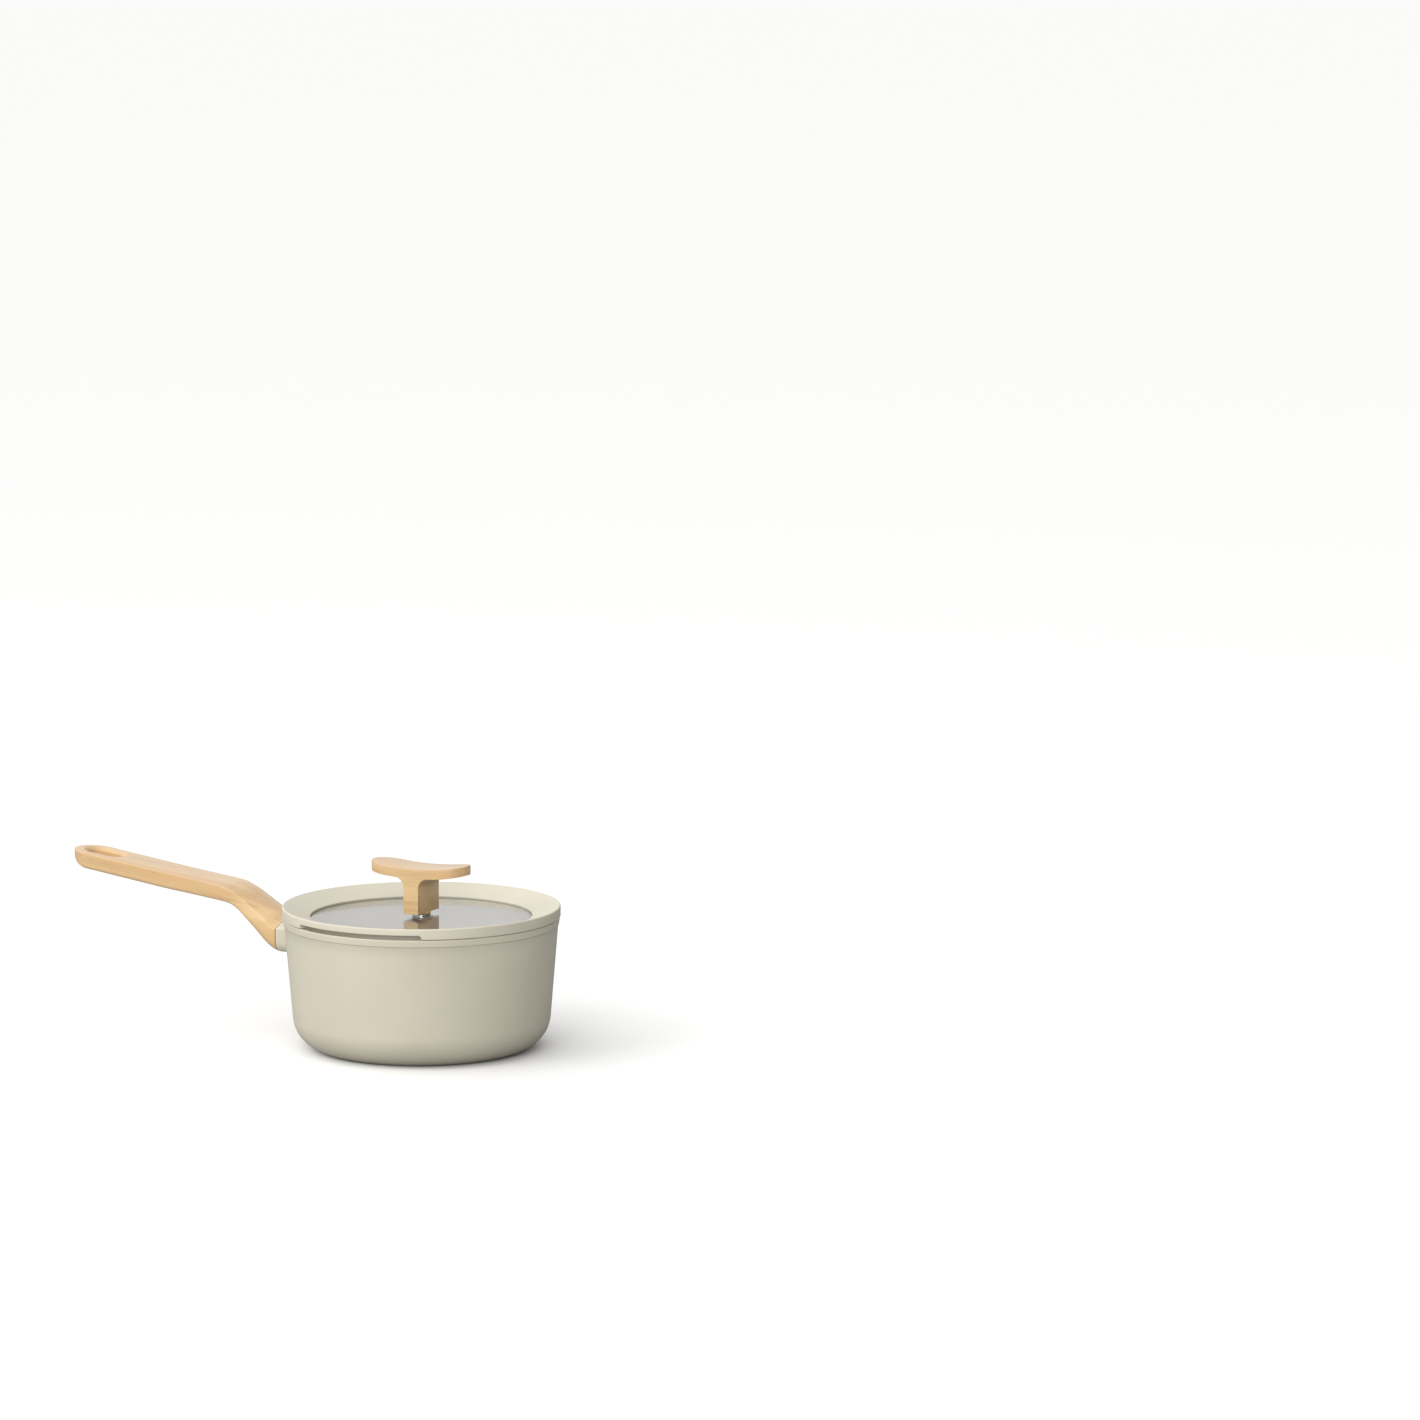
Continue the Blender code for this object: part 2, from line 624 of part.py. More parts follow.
def lid_knob(mat):
    outline = knob_profile()
    wide = KNOB_HALF_W + KNOB_CUT_MARGIN
    rings = [[(x, y, z) for x, z in outline] for y in (-wide, wide)]
    knob = loft("lid_knob", rings, mat, 25.0)
    plan = stadium(KNOB_HALF_L, KNOB_HALF_W, KNOB_PLAN_STEPS)
    plan_rings = []
    for z in (KNOB_BOTTOM_Z - KNOB_CUT_MARGIN, KNOB_MID_TOP_Z + KNOB_END_RISE + KNOB_CUT_MARGIN):
        plan_rings.append([(x, y, z) for x, y in plan])
    boolean(knob, loft("tool_knob_plan", plan_rings, None), "INTERSECT")
    bevel = knob.modifiers.new("edges", "BEVEL")
    bevel.width = KNOB_EDGE_R * MM
    bevel.segments = 1
    bevel.limit_method = "ANGLE"
    bevel.angle_limit = KNOB_BEVEL_ABOVE
    boss = [
        (0.0, KNOB_BOSS_Z),
        (KNOB_BOSS_R, KNOB_BOSS_Z),
        (KNOB_BOSS_R, KNOB_BOTTOM_Z + FIT_GAP),
        (0.0, KNOB_BOTTOM_Z + FIT_GAP),
    ]
    boolean(knob, lathe("tool_knob_boss", boss, SMALL_SEGMENTS, mat), "UNION")
    hole = [
        (0.0, KNOB_BOSS_Z - 1.0),
        (INSERT_R + FIT_GAP, KNOB_BOSS_Z - 1.0),
        (INSERT_R + FIT_GAP, INSERT_HOLE_TOP_Z),
        (0.0, INSERT_HOLE_TOP_Z),
    ]
    boolean(knob, lathe("tool_knob_hole", hole, SMALL_SEGMENTS, None), "DIFFERENCE")


def flat_ring(name, bore_r, outer_r, z_low, z_high, mat):
    profile = [(bore_r, z_high), (bore_r, z_low), (outer_r, z_low), (outer_r, z_high)]
    lathe(name, profile, SMALL_SEGMENTS, mat)


def knob_fixings(steel, brass, silicone):
    flat_ring("knob_insert", INSERT_BORE_R, INSERT_R, *INSERT_Z, brass)
    flat_ring("knob_top_washer", GROMMET_BORE_R, TOP_WASHER_R, *TOP_WASHER_Z, steel)
    low_z, flange_z, top_z = GROMMET_Z
    profile = [
        (GROMMET_BORE_R, top_z),
        (GROMMET_BORE_R, low_z),
        (GROMMET_FLANGE_R, low_z),
        (GROMMET_FLANGE_R, flange_z),
        (GROMMET_SLEEVE_R, flange_z),
        (GROMMET_SLEEVE_R, top_z),
    ]
    lathe("knob_grommet", profile, SMALL_SEGMENTS, silicone)
    flat_ring("knob_bottom_washer", GROMMET_BORE_R, LOW_WASHER_R, *LOW_WASHER_Z, steel)
    head_z, shank_z, end_z = LID_SCREW_Z
    screw = [
        (0.0, head_z + DRIVE_DEPTH),
        (DRIVE_R, head_z + DRIVE_DEPTH),
        (DRIVE_R, head_z),
        (LID_SCREW_HEAD_R - SCREW_HEAD_CHAMFER, head_z),
        (LID_SCREW_HEAD_R, head_z + SCREW_HEAD_CHAMFER),
        (LID_SCREW_HEAD_R, shank_z),
        (SCREW_R, shank_z),
        (SCREW_R, end_z),
        (0.0, end_z),
    ]
    lathe("knob_screw", screw, SMALL_SEGMENTS, steel)


def build():
    for obj in list(bpy.data.objects):
        bpy.data.objects.remove(obj, do_unlink=True)
    coated = material("cream_coating", CREAM, 0.42)
    wood = material("light_wood", WOOD, 0.5)
    steel = material("stainless_steel", STEEL, 0.28, 1.0)
    plate_steel = material("base_steel", PLATE_STEEL, 0.4, 1.0)
    brass = material("brass", BRASS, 0.35, 1.0)
    ring_silicone = material("cream_silicone", CREAM, 0.5)
    grey_silicone = material("grey_silicone", SILICONE_GREY, 0.6)
    aluminium = material("bare_aluminium", ALUMINIUM, 0.45, 1.0)
    glass = material("tempered_glass", GLASS, 0.05, 0.0, 1.0)
    pan_body(coated)
    base_plate(plate_steel)
    wall_tool = pan_wall_tool()
    bracket(aluminium, wall_tool)
    ferrule(coated, wall_tool)
    handle_grip(wood)
    handle_fixings(steel)
    lid_ring(ring_silicone)
    lid_glass(glass)
    lid_knob(wood)
    knob_fixings(steel, brass, grey_silicone)


build()
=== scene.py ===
"""Saucepan with a glass lid: the detailed visual model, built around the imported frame.

Every piece is modelled in place, in metres, in the frame of the CAD model: origin under the
middle of the base, +Z up, handle along -X. Lengths in the constants are millimetres.
"""
import math

import bmesh
import bpy
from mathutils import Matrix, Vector

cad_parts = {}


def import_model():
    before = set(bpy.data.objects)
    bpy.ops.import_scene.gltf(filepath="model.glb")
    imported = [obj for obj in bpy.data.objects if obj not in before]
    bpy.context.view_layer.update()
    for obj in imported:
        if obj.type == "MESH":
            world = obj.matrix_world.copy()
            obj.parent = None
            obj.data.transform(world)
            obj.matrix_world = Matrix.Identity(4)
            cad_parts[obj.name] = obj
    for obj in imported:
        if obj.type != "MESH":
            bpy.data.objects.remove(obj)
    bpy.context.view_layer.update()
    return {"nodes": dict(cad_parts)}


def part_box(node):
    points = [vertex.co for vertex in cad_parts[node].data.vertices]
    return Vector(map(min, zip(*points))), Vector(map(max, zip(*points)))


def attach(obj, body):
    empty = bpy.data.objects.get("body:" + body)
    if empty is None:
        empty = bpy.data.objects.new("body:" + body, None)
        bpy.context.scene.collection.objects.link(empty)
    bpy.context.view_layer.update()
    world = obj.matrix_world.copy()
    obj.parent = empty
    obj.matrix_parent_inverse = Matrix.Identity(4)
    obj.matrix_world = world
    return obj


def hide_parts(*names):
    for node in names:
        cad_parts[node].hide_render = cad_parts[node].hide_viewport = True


MM = 0.001
FULL_TURN = 2.0 * math.pi
SEGMENTS = 256
SMALL_SEGMENTS = 96

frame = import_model()


def reach(node, axis):
    """How far a CAD node reaches along an axis, in millimetres: its low and high ends."""
    low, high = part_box(node)
    return low[axis] / MM, high[axis] / MM


# pan shell
RIM_R, RIM_TOP_Z = reach("pan_body", 0)[1], reach("pan_body", 2)[1]
UNDERSIDE_Z = reach("pan_body", 2)[0]
WALL_BASE_R = 84.2
WALL_FLARE = 0.085
WALL_THICK = 2.6
CORNER_R = 23.2
FLOOR_Z = 6.5
BAND_Z = 83.7
BAND_LOW_R = 91.8
RIM_EDGE_R = 0.7
MOUTH_R = 89.3

# base plate
PLATE_R, PLATE_TOP_Z = reach("induction_base_plate", 0)[1], reach("induction_base_plate", 2)[1]

# collar between wall and handle
COLLAR_HALF_W = reach("handle_ferrule", 1)[1]
COLLAR_Z = reach("handle_ferrule", 2)
COLLAR_TIP_S = -reach("handle_ferrule", 0)[0]
COLLAR_EDGE_Z = 74.4
COLLAR_CROWN = COLLAR_Z[1] - COLLAR_EDGE_Z
COLLAR_LOW_R = 7.5
COLLAR_EDGE_R = 0.8
COLLAR_MOUTH_R = 0.5
COLLAR_MOUTH_EASE = 8.0
COLLAR_ROOT_LIFTS = (0.25, 2.0)
COLLAR_WALL_GAP = 0.02
CROWN_STEPS = 12
BORE_POWER = 6
BRACKET_HALF_W = reach("handle_bracket", 1)[1]
BRACKET_Z = reach("handle_bracket", 2)
FIT = 0.3

# handle: top and bottom points of successive sections, as (s, z) pairs
HANDLE_SECTIONS = (
    ((102.3, 74.3), (102.3, 58.3)),
    ((104.6, 74.5), (106.8, 60.2)),
    ((107.6, 76.0), (112.5, 64.5)),
    ((112.0, 79.4), (118.7, 70.3)),
    ((119.0, 84.2), (125.7, 76.9)),
    ((126.5, 89.3), (132.3, 82.5)),
    ((133.5, 93.8), (137.6, 86.0)),
    ((140.0, 97.0), (142.6, 87.9)),
    ((148.5, 99.6), (149.8, 89.0)),
    ((170.0, 102.3), (171.2, 91.6)),
    ((192.0, 105.0), (193.3, 94.1)),
    ((224.0, 109.2), (225.2, 98.4)),
    ((254.3, 113.3), (254.3, 102.3)),
)
HANDLE_STEPS = 8
TIP_STEPS = 26
TIP_LAST_ANGLE = 0.48 * math.pi
HALF_W = (19.7, 15.5)
FLARE_S = (98.0, 140.0)
CROWN = (4.8, 0.6)
CROWN_S = (106.0, 150.0)
LOW_ROUND = (7.5, 3.0)
LOW_ROUND_S = (103.0, 128.0)
MOST_OF_DEPTH = 0.47
MOST_OF_WIDTH = 0.6
TIP_S = -reach("handle_grip", 0)[0]
TIP_TOP_Z = 114.8
TIP_LOW_Z = 112.8
UNDERCUT_POWER = 0.75
TOP_EDGE_R = 0.8
SLOT_S = 248.5
SLOT_HALF_W = 6.6
SLOT_HALF_L = 13.0
SLOT_FLARE = 2.9
SLOT_DEPTH = 1.8
SLOT_LOW_FLARE = 1.0
SLOT_TILT = math.radians(7.4)
SLOT_Z = (101.6, 112.8)

# lid ring
RING_R, RING_TOP_Z = reach("lid_rim_ring", 0)[1], reach("lid_rim_ring", 2)[1]
RING_LIP_LOW_Z = reach("lid_rim_ring", 2)[0]
RING_LOW_Z = RIM_TOP_Z + FIT
RING_EDGE_R = 0.9
RING_INNER_R = 73.9
RING_INNER_TOP_Z = 89.4
RING_LIP_R = 88.1
RING_GROOVE_R = 77.8
RING_LOWER_LIP_R = 75.2
RING_CHANNEL_R = (79.5, 81.0, 84.4, 85.2)
RING_CHANNEL_DEPTH = 3.4
STRAINER_HALF_ANGLE = math.radians(30.0)
STRAINER_TOP_Z = 91.9
STRAINER_CORNER_R = 2.4
STRAINER_INNER_R = 84.0

# glass pane
GLASS_R, GLASS_CROWN_Z = reach("lid_glass", 0)[1], reach("lid_glass", 2)[1]
GLASS_SAG = 1.3
GLASS_THICK = 4.0
GLASS_HOLE_R = 5.0

# T knob
KNOB_HALF_L, KNOB_HALF_W = reach("lid_knob", 0)[1], reach("lid_knob", 1)[1]
KNOB_MID_TOP_Z = 122.0
KNOB_END_RISE = 3.14
KNOB_BAR_THICK = 6.2
KNOB_STEM_HALF = 5.5
KNOB_FILLET = 7.0
KNOB_BOTTOM_Z = 91.9
KNOB_BOSS_R = 6.3
KNOB_BOSS_Z = reach("lid_knob", 2)[0]
KNOB_EDGE_R = 0.9
KNOB_BORE_R = 4.3
KNOB_BORE_TOP_Z = 103.6

# fixings
SCREW_Z = 68.2
SCREW_BORE_R = 2.4
COUNTERBORE_R = 4.4
SEAT_S = 107.2

# view
AZIMUTH = math.radians(30.0)
ELEVATION = math.radians(10.5)
AIM_Z = 50.0
DISTANCE = 5.0
VIEW_WIDTH = 0.9484
AIM_RIGHT = 0.1937
AIM_UP = 0.1744
SENSOR_MM = 36.0


# ---------------------------------------------------------------- shape helpers


def arc(centre, radius, start_deg, end_deg, steps):
    points = []
    for k in range(steps + 1):
        a = math.radians(start_deg + (end_deg - start_deg) * k / steps)
        points.append((centre[0] + radius * math.cos(a), centre[1] + radius * math.sin(a)))
    return points


def between(a, b, steps):
    """Points from a to b, both ends left out."""
    out = []
    for k in range(1, steps):
        t = k / steps
        out.append(tuple(p + (q - p) * t for p, q in zip(a, b)))
    return out


def finish_mesh(mesh, sharp_deg):
    bm = bmesh.new()
    bm.from_mesh(mesh)
    bmesh.ops.recalc_face_normals(bm, faces=bm.faces)
    bm.to_mesh(mesh)
    bm.free()
    mesh.shade_smooth()
    mesh.set_sharp_from_angle(angle=math.radians(sharp_deg))


def make_object(name, verts_mm, faces, mats, face_mats=None, sharp_deg=30.0):
    mesh = bpy.data.meshes.new(name)
    mesh.from_pydata([Vector(v) * MM for v in verts_mm], [], faces)
    for mat in mats:
        mesh.materials.append(mat)
    if face_mats:
        mesh.polygons.foreach_set("material_index", face_mats)
    finish_mesh(mesh, sharp_deg)
    obj = bpy.data.objects.new(name, mesh)
    bpy.context.scene.collection.objects.link(obj)
    return obj


def lathe(name, runs, mats, segments=SEGMENTS, sharp_deg=30.0):
    """Turn runs of (r, z) points about Z; each run is (points, material index).

    A profile that starts on the axis ends there too, and otherwise it closes on itself.
    """
    profile = [(r, z, index) for points, index in runs for r, z in points]
    verts = []
    rows = []
    for r, z, _ in profile:
        if r == 0.0:
            rows.append([len(verts)] * segments)
            verts.append((0.0, 0.0, z))
            continue
        rows.append(list(range(len(verts), len(verts) + segments)))
        for k in range(segments):
            a = FULL_TURN * k / segments
            verts.append((r * math.cos(a), r * math.sin(a), z))
    spans = [(rows[i], rows[i + 1], profile[i + 1][2]) for i in range(len(rows) - 1)]
    if profile[0][0] > 0.0:
        spans.append((rows[-1], rows[0], profile[0][2]))
    faces = []
    face_mats = []
    for low, high, index in spans:
        for k in range(segments):
            n = (k + 1) % segments
            faces.append(list(dict.fromkeys([low[k], low[n], high[n], high[k]])))
            face_mats.append(index)
    return make_object(name, verts, faces, mats, face_mats, sharp_deg)


def loft(name, rings, mats, sharp_deg=30.0):
    """Skin equal-length closed rings of 3-D points and cap both ends."""
    count = len(rings[0])
    verts = [p for ring in rings for p in ring]
    faces = []
    for i in range(len(rings) - 1):
        for k in range(count):
            n = (k + 1) % count
            faces.append([i * count + k, i * count + n, (i + 1) * count + n, (i + 1) * count + k])
    last = (len(rings) - 1) * count
    faces.append(list(range(count)))
    faces.append([last + k for k in range(count)])
    return make_object(name, verts, faces, mats, None, sharp_deg)


def lying(steps, z=SCREW_Z, segments=SMALL_SEGMENTS):
    """Rings of (s, r) steps about an axis that runs along -X at height z."""
    rings = []
    for s, r in steps:
        ring = []
        for k in range(segments):
            a = FULL_TURN * k / segments
            ring.append((-s, r * math.cos(a), z + r * math.sin(a)))
        rings.append(ring)
    return rings


def stadium(half_l, half_w, steps):
    run = half_l - half_w
    return arc((run, 0.0), half_w, -90, 90, steps) + arc((-run, 0.0), half_w, 90, 270, steps)


def boolean(target, tool, operation):
    mod = target.modifiers.new(operation.lower(), "BOOLEAN")
    mod.object = tool
    mod.operation = operation
    mod.solver = "EXACT"
    return tool


def settle(obj, tools=(), sharp_deg=30.0):
    """Bake the object's modifiers into its mesh and remove the cutters."""
    bpy.context.view_layer.update()
    evaluated = obj.evaluated_get(bpy.context.evaluated_depsgraph_get())
    mesh = bpy.data.meshes.new_from_object(evaluated)
    obj.modifiers.clear()
    obj.data = mesh
    mesh.name = obj.name
    for tool in tools:
        bpy.data.objects.remove(tool)
    finish_mesh(mesh, sharp_deg)
    return obj


def soften(obj, width_mm, segments, angle_deg):
    """Round the edges over an angle, with the flat faces kept flat in shading."""
    bevel = obj.modifiers.new("edges", "BEVEL")
    bevel.width = width_mm * MM
    bevel.segments = segments
    bevel.limit_method = "ANGLE"
    bevel.angle_limit = math.radians(angle_deg)
    bevel.use_clamp_overlap = True


def keep(obj, body, slot, *nodes):
    """Ride the piece on its body in place of the CAD nodes that it refines."""
    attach(obj, body)
    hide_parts(*nodes)
    return obj


# ---------------------------------------------------------------- material helpers


def node(tree, kind, inputs=None, **settings):
    made = tree.nodes.new(kind)
    for key, value in settings.items():
        setattr(made, key, value)
    for key, value in (inputs or {}).items():
        if isinstance(value, bpy.types.NodeSocket):
            tree.links.new(value, made.inputs[key])
        else:
            made.inputs[key].default_value = value
    return made


def new_material(name, colour, roughness, **sockets):
    mat = bpy.data.materials.new(name)
    mat.use_nodes = True
    tree = mat.node_tree
    shader = tree.nodes["Principled BSDF"]
    shader.inputs["Base Color"].default_value = (*colour, 1.0)
    shader.inputs["Roughness"].default_value = roughness
    for key, value in sockets.items():
        shader.inputs[key.replace("_", " ")].default_value = value
    mat.diffuse_color = (*colour, 1.0)
    return mat, tree, shader


def place(tree, scale=(1.0, 1.0, 1.0), turn=(0.0, 0.0, 0.0), move=(0.0, 0.0, 0.0)):
    """The piece's own coordinates, turned, then stretched."""
    coords = node(tree, "ShaderNodeTexCoord")
    turned = node(
        tree,
        "ShaderNodeMapping",
        {"Vector": coords.outputs["Object"], "Rotation": turn, "Location": move},
    )
    stretched = node(
        tree, "ShaderNodeMapping", {"Vector": turned.outputs["Vector"], "Scale": scale}
    )
    return stretched.outputs["Vector"]


def noise(tree, vector, scale, detail=2.0, roughness=0.5, distortion=0.0):
    made = node(
        tree,
        "ShaderNodeTexNoise",
        {
            "Vector": vector,
            "Scale": scale,
            "Detail": detail,
            "Roughness": roughness,
            "Distortion": distortion,
        },
    )
    return made.outputs[0]


def span(tree, value, from_low, from_high, to_low, to_high):
    made = node(
        tree,
        "ShaderNodeMapRange",
        {
            "Value": value,
            "From Min": from_low,
            "From Max": from_high,
            "To Min": to_low,
            "To Max": to_high,
        },
    )
    return made.outputs["Result"]


def blend_colours(tree, factor, a, b, blend_type="MIX"):
    made = tree.nodes.new("ShaderNodeMix")
    made.data_type = "RGBA"
    made.blend_type = blend_type
    for index, value in ((0, factor), (6, a), (7, b)):
        if isinstance(value, bpy.types.NodeSocket):
            tree.links.new(value, made.inputs[index])
        elif index == 0:
            made.inputs[index].default_value = value
        else:
            made.inputs[index].default_value = (*value, 1.0)
    return made.outputs[2]


def math_node(tree, operation, a, b=0.0):
    made = node(tree, "ShaderNodeMath", operation=operation)
    for index, value in enumerate((a, b)):
        if isinstance(value, bpy.types.NodeSocket):
            tree.links.new(value, made.inputs[index])
        else:
            made.inputs[index].default_value = value
    return made.outputs[0]


def add_bump(tree, shader, height, strength, distance_mm, after=None):
    inputs = {"Height": height, "Strength": strength, "Distance": distance_mm * MM}
    if after is not None:
        inputs["Normal"] = after
    bump = node(tree, "ShaderNodeBump", inputs)
    tree.links.new(bump.outputs["Normal"], shader.inputs["Normal"])
    return bump.outputs["Normal"]


def link_colour(tree, shader, colour):
    tree.links.new(colour, shader.inputs["Base Color"])


def link_roughness(tree, shader, value):
    tree.links.new(value, shader.inputs["Roughness"])


# ---------------------------------------------------------------- materials

CREAM = (0.640, 0.600, 0.480)
CREAM_LOW = (0.615, 0.575, 0.455)
SILICONE = (0.660, 0.620, 0.505)
SILICONE_LOW = (0.635, 0.595, 0.480)
INTERIOR = (0.70, 0.625, 0.565)
INTERIOR_LOW = (0.66, 0.585, 0.525)
SPECKLE = (0.50, 0.43, 0.38)
WOOD_LIGHT = (0.77, 0.545, 0.285)
WOOD_MID = (0.64, 0.40, 0.185)
WOOD_DARK = (0.43, 0.23, 0.09)
WOOD_PORE = (0.36, 0.185, 0.075)
GLASS_TINT = (0.955, 0.972, 0.968)
GLASS_SHADE = (0.80, 0.82, 0.82)
STEEL = (0.62, 0.62, 0.63)
BASE_STEEL = (0.55, 0.55, 0.57)
BRASS = (0.72, 0.55, 0.27)
GREY_SILICONE = (0.33, 0.33, 0.33)
ALUMINIUM = (0.76, 0.77, 0.78)


def sprayed_coating(name, low, high, roughness, peel_mm, coat=0.0):
    """Satin paint: soft tone variation, fine orange peel and slightly uneven gloss."""
    mat, tree, shader = new_material(name, high, roughness, Coat_Weight=coat, Coat_Roughness=0.25)
    here = place(tree)
    drift = noise(tree, here, 22.0, 3.0, 0.55)
    grain = noise(tree, here, 1700.0, 1.0, 0.5)
    tone = span(tree, drift, 0.35, 0.65, 0.0, 1.0)
    colour = blend_colours(tree, tone, low, high)
    speck = span(tree, grain, 0.62, 0.78, 0.0, 0.35)
    link_colour(tree, shader, blend_colours(tree, speck, colour, tuple(0.9 * c for c in low)))
    gloss = noise(tree, here, 160.0, 3.0, 0.6)
    link_roughness(
        tree, shader, span(tree, gloss, 0.3, 0.7, roughness - 0.05, roughness + 0.06)
    )
    add_bump(tree, shader, noise(tree, here, 1.0 / (peel_mm * MM), 2.0, 0.5), 0.10, 0.05)
    return mat


def ceramic_interior(name):
    """Warm non-stick coating with a fine two-size speckle."""
    mat, tree, shader = new_material(name, INTERIOR, 0.33, Coat_Weight=0.25, Coat_Roughness=0.18)
    here = place(tree)
    tone = span(tree, noise(tree, here, 60.0, 3.0, 0.6), 0.35, 0.65, 0.0, 1.0)
    colour = blend_colours(tree, tone, INTERIOR_LOW, INTERIOR)
    fine = span(tree, noise(tree, here, 1500.0, 1.0, 0.5), 0.64, 0.70, 0.0, 0.55)
    colour = blend_colours(tree, fine, colour, SPECKLE)
    coarse = span(tree, noise(tree, here, 620.0, 1.0, 0.5), 0.72, 0.76, 0.0, 0.8)
    colour = blend_colours(tree, coarse, colour, (0.80, 0.74, 0.68))
    link_colour(tree, shader, colour)
    link_roughness(
        tree, shader, span(tree, noise(tree, here, 240.0, 2.0, 0.5), 0.3, 0.7, 0.28, 0.40)
    )
    add_bump(tree, shader, noise(tree, here, 700.0, 2.0, 0.5), 0.12, 0.06)
    return mat


def wood(name, tilt, offset):
    """Light hardwood, grain along X: broad figure, fine streaks, short pores and flecks."""
    mat, tree, shader = new_material(name, WOOD_LIGHT, 0.38, Coat_Weight=0.60, Coat_Roughness=0.20)
    turn = (0.0, tilt, 0.0)
    move = tuple(MM * v for v in offset)
    figure = noise(tree, place(tree, (3.0, 46.0, 46.0), turn, move), 1.0, 4.0, 0.55, 0.9)
    streaks = noise(tree, place(tree, (14.0, 420.0, 420.0), turn, move), 1.0, 4.0, 0.62, 0.25)
    pores = noise(tree, place(tree, (60.0, 1500.0, 1500.0), turn, move), 1.0, 1.5, 0.5)
    dark_lines = noise(tree, place(tree, (7.0, 210.0, 210.0), turn, move), 1.0, 2.0, 0.5, 0.4)
    flecks = noise(tree, place(tree, (120.0, 260.0, 260.0), turn, move), 1.0, 2.0, 0.5)

    colour = blend_colours(tree, span(tree, figure, 0.34, 0.62, 0.0, 1.0), WOOD_MID, WOOD_LIGHT)
    colour = blend_colours(tree, span(tree, streaks, 0.5, 0.76, 0.0, 0.55), colour, WOOD_MID)
    colour = blend_colours(tree, span(tree, dark_lines, 0.60, 0.78, 0.0, 0.45), colour, WOOD_DARK)
    colour = blend_colours(tree, span(tree, flecks, 0.60, 0.75, 0.0, 0.30), colour, WOOD_LIGHT)
    colour = blend_colours(tree, span(tree, pores, 0.64, 0.78, 0.0, 0.40), colour, WOOD_PORE)
    link_colour(tree, shader, colour)
    link_roughness(tree, shader, span(tree, streaks, 0.3, 0.7, 0.34, 0.48))
    grain = math_node(tree, "SUBTRACT", streaks, span(tree, pores, 0.62, 0.74, 0.0, 0.8))
    add_bump(tree, shader, grain, 0.22, 0.08)
    return mat


def turned_metal(name, colour, roughness, lines_per_mm, strength, centre=(0.0, 0.0, 0.0), lie=False):
    """Metal turned about Z, or about X when lying, with fine concentric tool marks."""
    mat, tree, shader = new_material(name, colour, roughness, Metallic=1.0)
    coords = node(tree, "ShaderNodeTexCoord").outputs["Object"]
    moved = node(
        tree, "ShaderNodeMapping", {"Vector": coords, "Location": tuple(-v * MM for v in centre)}
    ).outputs["Vector"]
    keep_axes = (0.0, 1.0, 1.0) if lie else (1.0, 1.0, 0.0)
    flat = node(tree, "ShaderNodeVectorMath", {0: moved, 1: keep_axes}, operation="MULTIPLY")
    radius = node(
        tree, "ShaderNodeVectorMath", {0: flat.outputs["Vector"]}, operation="LENGTH"
    ).outputs["Value"]
    rings = node(
        tree,
        "ShaderNodeTexNoise",
        {"W": radius, "Scale": lines_per_mm / MM, "Detail": 2.0, "Roughness": 0.6},
        noise_dimensions="1D",
    ).outputs[0]
    stain = noise(tree, coords, 90.0, 3.0, 0.6)
    tone = span(tree, rings, 0.3, 0.7, 0.0, 1.0)
    shade = tuple(0.86 * c for c in colour)
    link_colour(tree, shader, blend_colours(tree, tone, shade, colour))
    gloss = math_node(tree, "ADD", span(tree, rings, 0.3, 0.7, 0.0, 0.10), roughness - 0.05)
    gloss = math_node(tree, "ADD", gloss, span(tree, stain, 0.4, 0.7, 0.0, 0.06))
    link_roughness(tree, shader, gloss)
    add_bump(tree, shader, rings, strength, 0.03)
    return mat


def cast_metal(name):
    mat, tree, shader = new_material(name, ALUMINIUM, 0.45, Metallic=1.0)
    here = place(tree)
    grain = noise(tree, here, 900.0, 3.0, 0.6)
    link_colour(
        tree, shader, blend_colours(tree, grain, tuple(0.8 * c for c in ALUMINIUM), ALUMINIUM)
    )
    link_roughness(tree, shader, span(tree, grain, 0.3, 0.7, 0.38, 0.55))
    add_bump(tree, shader, grain, 0.3, 0.06)
    return mat


def clear_glass(name):
    """Tempered glass with a faint green-grey tint and the lightest film of handling."""
    mat, tree, shader = new_material(
        name, GLASS_TINT, 0.02, IOR=1.5, Transmission_Weight=1.0, Specular_IOR_Level=0.5
    )
    here = place(tree)
    film = noise(tree, here, 38.0, 4.0, 0.65, 0.6)
    link_roughness(tree, shader, span(tree, film, 0.45, 0.75, 0.012, 0.05))
    waves = noise(tree, here, 16.0, 1.0, 0.4)
    add_bump(tree, shader, waves, 0.04, 0.15)
    rays = node(tree, "ShaderNodeLightPath")
    passing = math_node(
        tree, "MAXIMUM", rays.outputs["Is Shadow Ray"], rays.outputs["Is Diffuse Ray"]
    )
    clear = node(tree, "ShaderNodeBsdfTransparent", {"Color": (*GLASS_SHADE, 1.0)})
    mixed = node(
        tree, "ShaderNodeMixShader",
        {0: passing, 1: shader.outputs["BSDF"], 2: clear.outputs["BSDF"]},
    )
    tree.links.new(mixed.outputs[0], tree.nodes["Material Output"].inputs["Surface"])
    return mat


